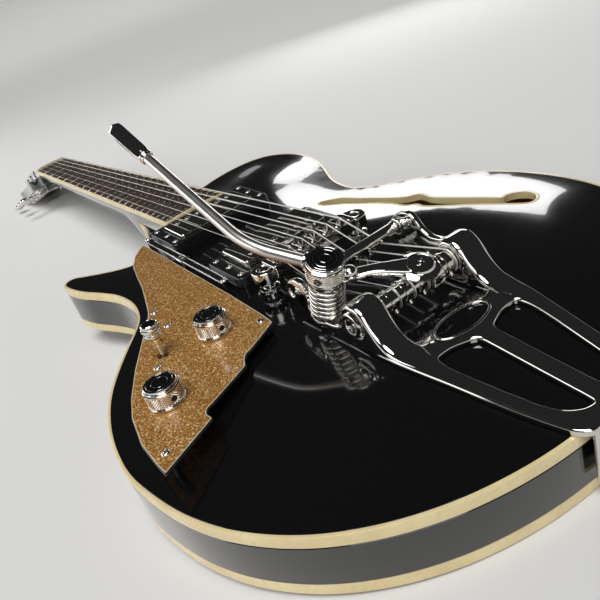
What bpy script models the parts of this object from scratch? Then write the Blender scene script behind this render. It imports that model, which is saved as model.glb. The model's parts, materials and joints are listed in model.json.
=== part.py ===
"""Semi-acoustic guitar, left-handed, built as separate named pieces.

The plan frame has X from the bridge to the nut, Y to the control side and Z out of
the top, with its origin under the bridge saddles. Tables are in millimetres, and
every mesh is written in metres.
"""
import math

import bpy
import bmesh
import numpy as np
from mathutils import Matrix, Vector
from mathutils.geometry import delaunay_2d_cdt

MM = 0.001
GAP = 0.35                 # clearance between neighbouring pieces

# body
TOP_EDGE_Z = -9.0          # top surface at the rim, the middle is at zero
ARCH_REACH = 90.0          # distance over which the top rises
TOP_THICK = 5.0
BACK_Z = -47.0
RIM_THICK = 6.5
FLOOR_Z = -41.5            # floor of the two chambers
BLOCK_HALF = 45.0          # half width of the centre block
CHAMBER_FRONT = {1: 128.0, -1: 222.0}
BIND_HIGH = 7.0
BIND_THICK = 1.8
NECK_JOINT_X = 257.0

# strings and neck
SCALE = 648.0
SLOPE = math.radians(3.05)
HEAD_PITCH = math.radians(15.0)
BOARD_PLANE_Z = 18.9       # board plane carried back to the bridge
BOARD_THICK = 6.0
BOARD_RADIUS = 305.0
BOARD_HALF = (28.5, 21.5)  # half width at the body end and at the nut
BOARD_BIND = 1.6
FRETS = 22
FRET_HIGH = 1.1
NUT_X = 649.0
NUT_LONG = 4.6
NUT_HALF = 18.4            # outer strings at the nut
STRING_LIFT = 2.3          # string over the board plane at the nut
SADDLE_Z = 23.8
BRIDGE_HALF = 26.0         # outer strings at the bridge
STRING_R = (0.60, 0.50, 0.41, 0.32, 0.26, 0.23)
NECK_HALF = 27.8
POCKET_Z = -32.0
HEAD_THICK = 14.0
HEAD_LONG = 180.0
POST_X = (43.0, 83.0, 123.0)
POST_Y = 21.0
POST_R = 3.0

# bridge
STUD_Y = 37.5
STUD_R = 4.0
WHEEL_R = 7.0
BAR_HALF = 8.4
SLOT_HALF = 6.8
SADDLE_WIDE = 6.8
SADDLE_HALF = 2.2
SADDLE_X = (-1.6, -1.0, -0.4, -1.2, -0.6, 0.2)

# pickups
RING_X = {"neck": 152.0, "bridge": 48.1}
RING_HALF = (24.0, 46.0)
BOARD_END = RING_X["neck"] + RING_HALF[0] + 1.2
POCKET_X = BOARD_END + 12.8
RING_OPEN = (18.6, 35.6)
RING_TOP = 7.9
COVER_HALF = (17.8, 34.8)
COVER_TOP = {"neck": 9.8, "bridge": 13.8}
CAVITY_Z = -24.0

# guard and controls
GUARD_TOP = 7.0
GUARD_THICK = 3.0
GUARD_SCREWS = ((-31.7, 64.6), (-85.7, 156.7), (48.4, 101.1), (-14.0, 127.7), (23.4, 102.7))
KNOB_SPOTS = {"volume_knob": (-13.8, 87.2), "tone_knob": (-48.5, 137.2)}
KNOB_R = 10.4
KNOB_HIGH = 12.6
SHAFT_R = 3.0
SWITCH_SPOT = (-4.5, 119.4)
SWITCH_PIVOT_Z = 3.2
SWITCH_BALL_R = 2.3
SWITCH_TOP = 30.4

# tremolo
AXLE = (-99.0, 0.0, 16.5)
AXLE_R = 6.0
JOURNAL_R = 3.5
EAR_Y = (40.0, 44.0)
EAR_R = 11.6
ROLL = (-41.0, 0.0, 18.0)
ROLL_R = 3.85
ROLL_HALF = 38.0
PLATE_THICK = 2.6
LEVER_PITCH = math.radians(20.0)
LEVER_Y = -10.8            # between the second and third strings
HUB_SPOT = (1.0, -4.5)
KNOB_SPOT = (30.4, 36.5)   # arm knob in the lever plane
ARM_LEVEL = 15.6
ARM_R = 3.5
SEAT_LEVEL = -19.4
SPRING_TOP = 4.9
SPRING_R = 8.5             # to the middle of the wire
WIRE_R = 1.0
SPRING_TURNS = 6.5

OUTLINE = (
    (257.0, 28.0), (240.0, 31.2), (223.0, 36.0), (205.0, 42.0), (190.0, 49.0), (180.0, 56.0),
    (175.6, 63.5), (177.0, 72.0), (184.5, 83.0), (194.5, 93.5), (204.5, 103.0), (212.0, 110.0),
    (213.6, 116.0), (210.5, 121.0), (204.5, 122.9), (193.4, 121.6), (177.4, 117.3),
    (156.0, 108.0), (135.1, 101.0), (108.9, 99.2), (86.3, 104.4), (72.0, 113.2),
    (54.9, 127.3), (28.8, 147.0), (8.3, 158.9), (-14.0, 167.6), (-37.0, 173.2),
    (-62.7, 175.6), (-90.0, 172.6), (-115.0, 166.6), (-140.0, 155.6), (-165.0, 137.4),
    (-185.0, 114.7), (-200.0, 88.9), (-210.0, 61.5), (-216.0, 32.5), (-218.0, 0.0),
    (-216.0, -32.5), (-210.0, -61.5), (-200.0, -88.9), (-185.0, -114.7), (-165.0, -137.2),
    (-140.0, -155.0), (-115.0, -165.6), (-91.5, -171.6), (-73.5, -174.3), (-48.2, -174.7),
    (-19.7, -170.8), (7.3, -162.4), (32.3, -149.2), (53.4, -132.9), (69.9, -117.5),
    (84.3, -108.1), (98.8, -104.4), (125.1, -109.0), (157.4, -123.5), (177.0, -131.0),
    (196.2, -135.4), (211.0, -136.6), (226.0, -135.2), (242.0, -130.0), (256.0, -120.5),
    (264.9, -105.0), (268.0, -87.0), (267.0, -68.0), (262.6, -49.0), (258.4, -36.0),
    (257.0, -28.0),
)
F_HOLE = (
    (87.5, -69.5), (84.0, -75.0), (80.7, -79.2), (66.0, -85.5), (51.3, -92.0), (25.4, -103.2),
    (18.8, -108.6), (14.6, -107.0), (6.0, -111.5), (-8.0, -115.0), (-23.1, -117.8),
    (-38.0, -121.6), (-47.8, -125.4), (-49.6, -129.0), (-50.2, -134.0), (-54.5, -138.4),
    (-61.0, -139.2), (-66.6, -137.2), (-69.6, -132.8), (-69.2, -127.2), (-65.5, -123.6),
    (-48.0, -114.6), (-32.0, -108.2), (-12.0, -100.6), (6.0, -94.0), (10.0, -95.2),
    (14.0, -91.0), (23.0, -91.2), (44.0, -85.7), (60.0, -78.6), (76.0, -70.5), (82.6, -67.2),
)
GUARD = (
    (163.2, 57.4), (16.6, 58.5), (-27.0, 59.7), (-39.5, 60.8), (-50.6, 83.0), (-52.4, 88.4),
    (-55.8, 91.0), (-61.6, 94.1), (-73.6, 122.8), (-74.6, 126.4), (-78.0, 128.6),
    (-83.6, 127.9), (-99.2, 163.6), (-90.0, 163.9), (-68.6, 163.2), (-43.1, 157.8),
    (-26.5, 151.1), (-2.1, 138.0), (23.6, 121.8), (45.8, 107.6), (54.0, 103.6),
    (62.6, 100.7), (76.0, 96.4), (92.0, 91.4), (115.3, 85.8), (134.2, 80.4), (149.5, 72.3),
    (159.3, 63.6),
)
HEAD = (
    (0.6, 21.8), (10.0, 22.2), (18.0, 25.0), (26.0, 31.0), (36.0, 34.4), (80.0, 33.6),
    (120.0, 34.2), (146.0, 36.6), (160.0, 34.5), (171.0, 26.5), (177.6, 14.0), (180.0, 0.0),
)


def spline(points, steps, closed=True):
    """Rounded run through the points."""
    pts = [np.array(p, float) for p in points]
    count = len(pts)
    out = []
    last = count if closed else count - 1
    for i in range(last):
        p1 = pts[i]
        p2 = pts[(i + 1) % count]
        p0 = pts[i - 1] if closed or i > 0 else 2 * p1 - p2
        p3 = pts[(i + 2) % count] if closed or i + 2 < count else 2 * p2 - p1
        span = np.linalg.norm(p2 - p1)
        m1 = (p2 - p0) / (np.linalg.norm(p1 - p0) + span) * span
        m2 = (p3 - p1) / (np.linalg.norm(p3 - p2) + span) * span
        for k in range(steps):
            t = k / steps
            h = (2 * t ** 3 - 3 * t ** 2 + 1, t ** 3 - 2 * t ** 2 + t,
                 3 * t ** 2 - 2 * t ** 3, t ** 3 - t ** 2)
            out.append(h[0] * p1 + h[1] * m1 + h[2] * p2 + h[3] * m2)
    if not closed:
        out.append(pts[-1])
    return out


def inset(loop, depth):
    """Closed run moved inward, for a run that goes anticlockwise."""
    pts = np.array(loop)
    ahead = np.roll(pts, -1, 0) - pts
    ahead /= np.linalg.norm(ahead, axis=1)[:, None]
    behind = np.roll(ahead, 1, 0)
    mean = ahead + behind
    mean /= np.linalg.norm(mean, axis=1)[:, None]
    scale = 1.0 / np.maximum(0.5, (mean * ahead).sum(1))
    normal = np.stack([-mean[:, 1], mean[:, 0]], 1)
    return [p for p in pts + normal * (depth * scale)[:, None]]


def clip(loop, axis, limit, side):
    """Part of a closed run beyond a straight line."""
    out = []
    for i, a in enumerate(loop):
        b = loop[(i + 1) % len(loop)]
        da = (a[axis] - limit) * side
        db = (b[axis] - limit) * side
        if da >= 0:
            out.append(np.array(a))
        if da * db < 0:
            out.append(a + (b - a) * (da / (da - db)))
    return out


def circle(x, y, radius, count=24):
    steps = [2 * math.pi * k / count for k in range(count)]
    return [np.array((x + radius * math.cos(a), y + radius * math.sin(a))) for a in steps]


def box_loop(half_x, half_y, corner, x=0.0, y=0.0, steps=3):
    """Rectangle with rounded corners."""
    out = []
    for cx, cy, start in ((1, 1, 0), (-1, 1, 90), (-1, -1, 180), (1, -1, 270)):
        for k in range(steps + 1):
            a = math.radians(start + 90 * k / steps)
            out.append(np.array((x + cx * (half_x - corner) + corner * math.cos(a),
                                 y + cy * (half_y - corner) + corner * math.sin(a))))
    return out


def split_sides(loop, parts):
    """The run with its four long sides cut into parts."""
    out = []
    n = len(loop)
    for i, a in enumerate(loop):
        b = loop[(i + 1) % n]
        out.append(a)
        if (i + 1) % (n // 4) == 0:
            out += [a + (b - a) * k / parts for k in range(1, parts)]
    return out


def square(half_x, half_y, x=0.0, y=0.0):
    return [np.array((x + a * half_x, y + b * half_y))
            for a, b in ((1, 1), (-1, 1), (-1, -1), (1, -1))]


def turned_left(loop):
    """The run in anticlockwise order."""
    pts = np.array(loop)
    nxt = np.roll(pts, -1, 0)
    area = (pts[:, 0] * nxt[:, 1] - nxt[:, 0] * pts[:, 1]).sum()
    return list(pts) if area > 0 else list(pts[::-1])


BODY_LOOP = turned_left(spline(OUTLINE, 2, closed=False))


def edge_distance(x, y):
    """Distance to the rim of the body."""
    pts = np.array(BODY_LOOP)
    nxt = np.roll(pts, -1, 0)
    seg = nxt - pts
    rel = np.array((x, y)) - pts
    t = np.clip((rel * seg).sum(1) / (seg * seg).sum(1), 0, 1)
    return float(np.linalg.norm(rel - seg * t[:, None], axis=1).min())


def arch(x, y):
    """Height of the top surface."""
    t = min(1.0, edge_distance(x, y) / ARCH_REACH)
    return TOP_EDGE_Z * (1 - t * t * (3 - 2 * t))


def skin(rings, ring_closed=False):
    """Solid through rings of equally many points."""
    n = len(rings[0])
    verts = [tuple(p) for ring in rings for p in ring]
    faces = []
    last = len(rings) if ring_closed else len(rings) - 1
    for r in range(last):
        a = r * n
        b = ((r + 1) % len(rings)) * n
        for k in range(n):
            j = (k + 1) % n
            faces.append((a + k, a + j, b + j, b + k))
    if not ring_closed:
        faces.append(tuple(range(n))[::-1])
        faces.append(tuple(range((len(rings) - 1) * n, len(rings) * n)))
    return verts, faces


def prism(loop, low, high):
    """Upright solid on a closed run, the heights plain numbers or functions."""
    lo = low if callable(low) else (lambda x, y: low)
    hi = high if callable(high) else (lambda x, y: high)
    return skin([[(p[0], p[1], lo(p[0], p[1])) for p in loop],
                 [(p[0], p[1], hi(p[0], p[1])) for p in loop]])


def wall(outer, inner, low, high, ease=0.0):
    """Upright band between two runs with as many points."""
    lo = low if callable(low) else (lambda x, y: low)
    hi = high if callable(high) else (lambda x, y: high)
    rings = [[(p[0], p[1], lo(p[0], p[1])) for p in inner],
             [(p[0], p[1], lo(p[0], p[1])) for p in outer]]
    if ease:
        mid = [q + (p - q) * 0.55 for p, q in zip(outer, inner)]
        rings.append([(p[0], p[1], hi(p[0], p[1]) - ease) for p in outer])
        rings.append([(p[0], p[1], hi(p[0], p[1])) for p in mid])
    else:
        rings.append([(p[0], p[1], hi(p[0], p[1])) for p in outer])
    rings.append([(p[0], p[1], hi(p[0], p[1])) for p in inner])
    return skin(rings, ring_closed=True)


def sheet(loop, low, high, spacing):
    """Curved plate on a closed run, with points inside it."""
    pts = [Vector((p[0], p[1])) for p in loop]
    n = len(pts)
    arr = np.array(loop)
    nxt = np.roll(arr, -1, 0)
    seg = nxt - arr
    x0, y0 = arr.min(0)
    x1, y1 = arr.max(0)
    extra = []
    y = y0 + spacing
    row = 0
    while y < y1:
        x = x0 + spacing * (0.5 if row % 2 else 1.0)
        while x < x1:
            rel = np.array((x, y)) - arr
            t = np.clip((rel * seg).sum(1) / (seg * seg).sum(1), 0, 1)
            near = np.linalg.norm(rel - seg * t[:, None], axis=1).min()
            cross = ((arr[:, 1] > y) != (nxt[:, 1] > y)) & (
                x < (nxt[:, 0] - arr[:, 0]) * (y - arr[:, 1])
                / (nxt[:, 1] - arr[:, 1] + 1e-12) + arr[:, 0])
            if cross.sum() % 2 == 1 and near > spacing * 0.45:
                extra.append(Vector((x, y)))
            x += spacing
        y += spacing * 0.87
        row += 1
    edges = [(i, (i + 1) % n) for i in range(n)]
    flat, _, tris, _, _, _ = delaunay_2d_cdt(pts + extra, edges, [list(range(n))], 1, 1e-6)
    verts = [(v.x, v.y, high(v.x, v.y)) for v in flat]
    base = len(verts)
    verts += [(v.x, v.y, low(v.x, v.y)) for v in flat]
    faces = [tuple(t) for t in tris]
    faces += [tuple(base + k for k in reversed(t)) for t in tris]
    count = {}
    for t in tris:
        for k in range(len(t)):
            a, b = t[k], t[(k + 1) % len(t)]
            count[(a, b)] = 1
    for a, b in count:
        if (b, a) not in count:
            faces.append((b, a, base + a, base + b))
    return verts, faces


def turn(profile, count=24, ring=False):
    """Solid of revolution about Z from (radius, height) points."""
    verts = []
    rows = []
    for r, z in profile:
        if r < 1e-6:
            rows.append([len(verts)])
            verts.append((0.0, 0.0, z))
        else:
            rows.append(list(range(len(verts), len(verts) + count)))
            verts += [(r * math.cos(2 * math.pi * k / count),
                       r * math.sin(2 * math.pi * k / count), z) for k in range(count)]
    faces = []
    pairs = list(zip(rows, rows[1:] + rows[:1])) if ring else list(zip(rows, rows[1:]))
    for a, b in pairs:
        for k in range(count):
            j = (k + 1) % count
            if len(a) == 1 and len(b) == 1:
                continue
            if len(a) == 1:
                faces.append((a[0], b[j], b[k]))
            elif len(b) == 1:
                faces.append((a[k], a[j], b[0]))
            else:
                faces.append((a[k], a[j], b[j], b[k]))
    if not ring:
        for row, flip in ((rows[0], True), (rows[-1], False)):
            if len(row) > 1:
                faces.append(tuple(row[::-1]) if flip else tuple(row))
    return verts, faces


def tube(points, radius, sides=6):
    """Round bar along a run of points, with closed ends."""
    pts = [Vector(p) for p in points]
    rads = radius if isinstance(radius, (list, tuple)) else [radius] * len(pts)
    rings = []
    up = None
    for i, p in enumerate(pts):
        before = (p - pts[i - 1]).normalized() if i > 0 else (pts[1] - p).normalized()
        after = (pts[i + 1] - p).normalized() if i < len(pts) - 1 else before
        along = (before + after).normalized()
        if up is None:
            up = along.orthogonal().normalized()
        up = (up - along * up.dot(along)).normalized()
        side = along.cross(up)
        ring = []
        for k in range(sides):
            a = 2 * math.pi * k / sides
            ring.append(tuple(p + (up * math.cos(a) + side * math.sin(a)) * rads[i]))
        rings.append(ring)
    return skin(rings)


def side_prism(profile, y0, y1):
    """Solid with a side view (x, z) carried from one y to another."""
    return skin([[(x, y0, z) for x, z in profile], [(x, y1, z) for x, z in profile]])


def moved(solid, matrix):
    return [tuple(matrix @ Vector(v)) for v in solid[0]], solid[1]


def shifted(solid, x=0.0, y=0.0, z=0.0):
    return moved(solid, Matrix.Translation((x, y, z)))


def many(solids):
    """Several loose solids as one list, for use as one operand."""
    verts = []
    faces = []
    for v, f in solids:
        base = len(verts)
        verts += v
        faces += [tuple(base + k for k in face) for face in f]
    return verts, faces


def screw_heads(spots, radius, deep, high):
    """Low domed screw heads."""
    heads = []
    for x, y in spots:
        z = high(x, y) if callable(high) else high
        low = z - deep
        heads.append(shifted(turn([(0, low), (radius, low), (radius, z - 0.3),
                                   (radius * 0.6, z), (0, z)], 8), x, y))
    return many(heads)


PLAN = Matrix.Identity(4)
NECK = Matrix.Translation((0, 0, BOARD_PLANE_Z)) @ Matrix.Rotation(SLOPE, 4, "Y")
HEADFRAME = (NECK @ Matrix.Translation((NUT_X + 1.2, 0, -BOARD_THICK - 0.6))
             @ Matrix.Rotation(HEAD_PITCH, 4, "Y"))
LEVER = Matrix.Translation(AXLE) @ Matrix.Rotation(-LEVER_PITCH, 4, "Y")
SPIN_Y = Matrix.Rotation(math.radians(-90), 4, "X")

ROOT = None
LOOKS = {}


def look(name, colour, metallic=0.0, roughness=0.35):
    LOOKS[name] = (colour, metallic, roughness)


look("lacquer", (0.012, 0.012, 0.014), 0.0, 0.08)
look("cream", (0.78, 0.70, 0.52), 0.0, 0.35)
look("gold", (0.62, 0.42, 0.16), 0.7, 0.3)
look("chrome", (0.80, 0.80, 0.80), 1.0, 0.12)
look("dark_wood", (0.07, 0.03, 0.02), 0.0, 0.55)
look("ivory", (0.80, 0.76, 0.66), 0.0, 0.4)
look("black", (0.02, 0.02, 0.02), 0.0, 0.3)
look("wire", (0.70, 0.66, 0.60), 1.0, 0.3)


def material_for(name, kind):
    colour, metallic, roughness = LOOKS[kind]
    mat = bpy.data.materials.new(name + "_surface")
    mat.use_nodes = True
    shader = mat.node_tree.nodes["Principled BSDF"]
    shader.inputs["Base Color"].default_value = (*colour, 1.0)
    shader.inputs["Metallic"].default_value = metallic
    shader.inputs["Roughness"].default_value = roughness
    return mat


def mesh_object(name, solid, frame):
    """Object whose mesh is given in the axes of its frame."""
    mesh = bpy.data.meshes.new(name)
    mesh.from_pydata([tuple(c * MM for c in v) for v in solid[0]], [], solid[1])
    work = bmesh.new()
    work.from_mesh(mesh)
    bmesh.ops.recalc_face_normals(work, faces=work.faces)
    work.to_mesh(mesh)
    work.free()
    obj = bpy.data.objects.new(name, mesh)
    bpy.context.scene.collection.objects.link(obj)
    local = frame.copy()
    local.translation = frame.translation * MM
    obj.parent = ROOT
    obj.matrix_local = local
    return obj


def piece(name, solid, kind, frame=PLAN, add=(), cut=(), angle=32):
    """Visible piece, with solids joined to it and cut from it."""
    obj = mesh_object(name, solid, frame)
    obj.data.materials.append(material_for(name, kind))
    obj.data.shade_smooth()
    obj.data.set_sharp_from_angle(angle=math.radians(angle))
    for how, group in (("UNION", add), ("DIFFERENCE", cut)):
        for k, item in enumerate(group):
            tool = mesh_object(f"{name}_{how.lower()}_{k}", item, frame)
            tool.hide_render = True
            tool.display_type = "WIRE"
            step = obj.modifiers.new(f"{how.lower()}_{k}", "BOOLEAN")
            step.operation = how
            step.solver = "EXACT"
            step.object = tool
    return obj


def lerp(a, b, t):
    return a + (b - a) * t


def neck_pocket(grow):
    """Room for the neck tongue, open at the top and at the neck end."""
    half = NECK_HALF + grow
    low = POCKET_Z - grow
    profile = [(POCKET_X - grow, low), (NECK_JOINT_X + 12, low), (NECK_JOINT_X + 12, 12),
               (POCKET_X - grow, 12)]
    return side_prism(profile, -half, half)


def chambers():
    inner = inset(BODY_LOOP, RIM_THICK)
    out = []
    for side in (1, -1):
        loop = clip(clip(inner, 1, side * BLOCK_HALF, side), 0, CHAMBER_FRONT[side], -1)
        out.append(prism(loop, FLOOR_Z, 15))
    return many(out)


def cavities():
    """Hollows under the two pickups."""
    return many([prism(box_loop(RING_OPEN[0], RING_OPEN[1] + 4, 3, x), CAVITY_Z, 12)
                 for x in RING_X.values()])


def stud_holes():
    return many([prism(circle(0, s * STUD_Y, STUD_R + 0.9, 20), -22, 12) for s in (1, -1)])


def rim_frame(x, y, z):
    """Frame on the rim nearest to a spot, its Z pointing out of the side."""
    pts = np.array(BODY_LOOP)
    k = int(np.linalg.norm(pts - np.array((x, y)), axis=1).argmin())
    along = Vector((*(pts[(k + 1) % len(pts)] - pts[k - 1]), 0)).normalized()
    out = along.cross(Vector((0, 0, 1)))
    side = Vector((0, 0, 1)).cross(out)
    frame = Matrix((side, Vector((0, 0, 1)), out)).transposed().to_4x4()
    frame.translation = Vector((pts[k][0], pts[k][1], z))
    return frame


JACK_FRAME = rim_frame(-216.2, -34.0, -28.0)
STRAP_FRAMES = {"strap_button_tail": rim_frame(-218.0, 0.0, -30.5),
                "strap_button_shoulder": rim_frame(268.0, -87.0, -28.0)}


def bed_height(x, y):
    """Upper face of the rim and block, a little lower away from the rim."""
    return arch(x, y) - (2.2 if edge_distance(x, y) > 6 else 0.0)


def build_body():
    rebate = inset(BODY_LOOP, BIND_THICK + GAP)
    top_low = TOP_EDGE_Z - BIND_HIGH
    back_high = BACK_Z + BIND_HIGH
    under = TOP_THICK + GAP
    upper = sheet(rebate, lambda x, y: -26.0, lambda x, y: bed_height(x, y) - under, 42.0)
    holes = [moved(turn([(0, -30), (5.4, -30), (5.4, 4), (0, 4)], 16), JACK_FRAME)]
    for frame in STRAP_FRAMES.values():
        holes.append(moved(turn([(0, -14), (1.9, -14), (1.9, 4), (0, 4)], 10), frame))
    piece("body_shell", upper, "lacquer",
          add=[prism(BODY_LOOP, back_high + GAP, top_low - GAP),
               prism(rebate, BACK_Z, -32.0)],
          cut=[chambers(), neck_pocket(GAP), many([cavities(), stud_holes()]), many(holes)])
    cuts = [neck_pocket(GAP), many([cavities(), stud_holes()]),
            prism(inset(turned_left(F_HOLE), -BIND_THICK - GAP), -30, 12), deck_room()]
    piece("body_top", sheet(rebate, lambda x, y: arch(x, y) - TOP_THICK, arch, 25.0),
          "lacquer", cut=cuts)
    inner = inset(BODY_LOOP, BIND_THICK)
    piece("top_binding", wall(BODY_LOOP, inner, top_low, TOP_EDGE_Z), "cream",
          cut=[neck_pocket(GAP)])
    piece("back_binding", wall(BODY_LOOP, inner, BACK_Z, back_high), "cream")
    hole = turned_left(F_HOLE)
    piece("f_hole_binding",
          wall(inset(hole, -BIND_THICK), hole, lambda x, y: arch(x, y) - TOP_THICK,
               lambda x, y: arch(x, y) + 0.15), "cream")


def deck_room():
    """Openings in the top for the controls under the guard."""
    out = [prism(circle(*spot, 10.5, 20), -30, 12) for spot in KNOB_SPOTS.values()]
    out.append(prism(box_loop(9.5, 15.5, 3, *SWITCH_SPOT), -30, 12))
    return many(out)


def board_half(x):
    t = (x - BOARD_END) / (NUT_X - BOARD_END)
    return lerp(BOARD_HALF[0], BOARD_HALF[1], t)


def neck_section(x, half, deep, flat, count=14):
    """Half-round section, flat on top, in the neck frame."""
    top = -BOARD_THICK - GAP
    ring = [(x, half, top)]
    for k in range(count + 1):
        a = math.pi * k / count
        c = math.cos(a)
        s = math.sin(a)
        ring.append((x, half * math.copysign(abs(c) ** flat, c),
                     top - 1.2 - (deep - 1.2) * abs(s) ** flat))
    ring.append((x, -half, top))
    return ring


def build_neck():
    deep_joint = 43.0
    start = NECK_JOINT_X + GAP + 0.4 + (deep_joint + 8) * math.tan(SLOPE)
    stations = ((start, 27.8, deep_joint, 0.45), (start + 8, 27.6, deep_joint - 1.5, 0.5),
                (start + 20, 27.2, deep_joint - 10, 0.62), (start + 34, 26.6, 26.0, 0.8),
                (start + 52, 26.2, 19.0, 0.95), (380, None, 18.0, 1.0),
                (500, None, 17.0, 1.0), (610, None, 16.0, 1.0), (638, None, 16.0, 1.0),
                (NUT_X + 7, None, 15.2, 0.95))
    rings = [neck_section(x, half or board_half(x), deep, flat)
             for x, half, deep, flat in stations]
    shaft = skin(rings)
    board_low = -BOARD_THICK - GAP
    flat_top = NECK @ Vector((BOARD_END + 1, 0, board_low))
    far_top = NECK @ Vector((NECK_JOINT_X + 4, 0, board_low))
    tongue = side_prism([(flat_top.x, GAP), (POCKET_X, GAP), (POCKET_X, POCKET_Z),
                         (NECK_JOINT_X + 4, POCKET_Z), (far_top.x, far_top.z),
                         (flat_top.x, flat_top.z)], -NECK_HALF, NECK_HALF)
    half_loop = spline([(x, y) for x, y in HEAD], 2, closed=False)
    loop = turned_left(half_loop + [np.array((p[0], -p[1])) for p in half_loop[-2::-1]])
    head = prism(loop, -HEAD_THICK, 0.0)
    to_neck = NECK.inverted()
    holes = [prism(circle(x, s * POST_Y, POST_R + 1.6, 12), -HEAD_THICK - 3, 3)
             for x in POST_X for s in (1, -1)]
    piece("neck", shaft, "lacquer", frame=NECK,
          add=[moved(tongue, to_neck), moved(head, to_neck @ HEADFRAME)],
          cut=[moved(many(holes), to_neck @ HEADFRAME)])


def board_ring(x, lift):
    """Section of the fingerboard, raised where a fret crosses it."""
    half = board_half(x) - BOARD_BIND - GAP
    ring = [(x, half, -BOARD_THICK)]
    for k in range(5):
        y = half * (1 - 2 * k / 4)
        ring.append((x, y, lift - y * y / (2 * BOARD_RADIUS)))
    ring.append((x, -half, -BOARD_THICK))
    return ring


def build_board():
    start = BOARD_END + 3.0
    frets = sorted(SCALE * 2 ** (-n / 12) + NUT_X - SCALE for n in range(1, FRETS + 1))
    rings = [board_ring(start, 0.0)]
    for x in frets:
        rings += [board_ring(x - 1.3, 0.0), board_ring(x, FRET_HIGH), board_ring(x + 1.3, 0.0)]
    rings.append(board_ring(NUT_X - GAP, 0.0))
    piece("fretboard", skin(rings), "dark_wood", frame=NECK, angle=25)
    x0, x1 = BOARD_END, NUT_X - GAP
    end = x0 + 3.0 - GAP
    loop = [(x0, -BOARD_HALF[0]), (x1, -BOARD_HALF[1]), (x1, -BOARD_HALF[1] + BOARD_BIND),
            (end, -board_half(end) + BOARD_BIND), (end, board_half(end) - BOARD_BIND),
            (x1, BOARD_HALF[1] - BOARD_BIND), (x1, BOARD_HALF[1]), (x0, BOARD_HALF[0])]
    drop = [h * h / (2 * BOARD_RADIUS) for h in BOARD_HALF]
    piece("fretboard_binding",
          prism(loop, -BOARD_THICK,
                lambda x, y: -lerp(drop[0], drop[1], (x - x0) / (x1 - x0))),
          "cream", frame=NECK)


def string_spots():
    """Across position and radius of each string, lowest string first."""
    for k, r in enumerate(STRING_R):
        t = (k - 2.5) / 2.5
        yield k, t, r


def nut_height(y, r):
    return STRING_LIFT - y * y / (2 * BOARD_RADIUS)


def build_nut():
    top = []
    for k, t, r in string_spots():
        y = t * NUT_HALF
        low = nut_height(y, r) - r - GAP
        wide = r + GAP
        high = low + 2 * r + 0.5
        top += [(y - wide, high), (y - wide, low), (y + wide, low), (y + wide, high)]
    low = -BOARD_THICK
    profile = [(-BOARD_HALF[1], low), (-BOARD_HALF[1], 0.9)] + top
    profile += [(BOARD_HALF[1], 0.9), (BOARD_HALF[1], low)]
    x0 = NUT_X
    rings = [[(x, y, z) for y, z in profile] for x in (x0, x0 + NUT_LONG)]
    piece("nut", skin(rings), "ivory", frame=NECK)


def build_tuners():
    names = {1: "near", -1: "far"}
    for side, label in names.items():
        under = -HEAD_THICK - GAP
        spots = [(x, side * POST_Y) for x in POST_X]
        plate = prism(box_loop(52.0, 8.5, 3, POST_X[1], side * (POST_Y + 2.0), 2),
                      under - 1.4, under)
        boxes = [shifted(prism(box_loop(9.0, 7.6, 2.5, steps=2), under - 9.6, under - 0.7),
                         x, y + side * 2.0) for x, y in spots]
        wells = [prism(circle(x, y, POST_R + 0.4, 10), under - 5, under + 2)
                 for x, y in spots]
        bores = []
        for x, y in spots:
            turned = Matrix.Translation((x, side * (POST_Y + 5.4), under - 5.2))
            turned = turned @ Matrix.Rotation(math.radians(-90 * side), 4, "X")
            bores.append(moved(turn([(0, 0), (2.1, 0), (2.1, 9), (0, 9)], 8), turned))
        piece(f"tuner_plate_{label}", plate, "chrome", frame=HEADFRAME,
              add=[many(boxes)], cut=[many(wells), many(bores)])
        for k, (x, y) in enumerate(spots):
            build_tuner(f"{label}_{k + 1}", x, y, side, under)


def build_tuner(tag, x, y, side, under):
    """One string post and the button that turns it."""
    r = POST_R
    frame = HEADFRAME @ Matrix.Translation((x, y, 0))
    profile = [(0, under - 4.5), (r, under - 4.5), (r, 9.6), (r + 0.5, 10.0),
               (r + 0.5, 11.4), (r - 0.4, 12.0), (0, 12.0)]
    piece(f"tuner_post_{tag}", turn(profile, 10), "chrome", frame=frame)
    frame = (HEADFRAME @ Matrix.Translation((x, side * 44.0, under - 5.2))
             @ Matrix.Rotation(math.radians(-90 * side), 4, "X"))
    rings = []
    reach = 44.0 - (POST_Y + 5.8)
    for z, rx, ry in ((-reach, 1.5, 1.5), (0.0, 1.5, 1.5), (0.4, 3.0, 3.0), (1.8, 3.0, 3.0),
                      (2.6, 6.6, 3.2), (7.0, 9.2, 3.8), (12.0, 8.2, 3.2), (14.2, 5.0, 1.8)):
        rings.append([(rx * math.cos(2 * math.pi * k / 10), ry * math.sin(2 * math.pi * k / 10), z)
                      for k in range(10)])
    piece(f"tuner_button_{tag}", skin(rings), "chrome", frame=frame)


def saddle_point(k, t, r):
    y = t * BRIDGE_HALF
    return Vector((SADDLE_X[k], y, SADDLE_Z - y * y / (2 * BOARD_RADIUS)))


def tangent_angle(px, py, cx, cy, radius, sign):
    """Angle on a circle where a line from a point touches it."""
    dx, dy = px - cx, py - cy
    return math.atan2(dy, dx) + sign * math.acos(radius / math.hypot(dx, dy))


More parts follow.
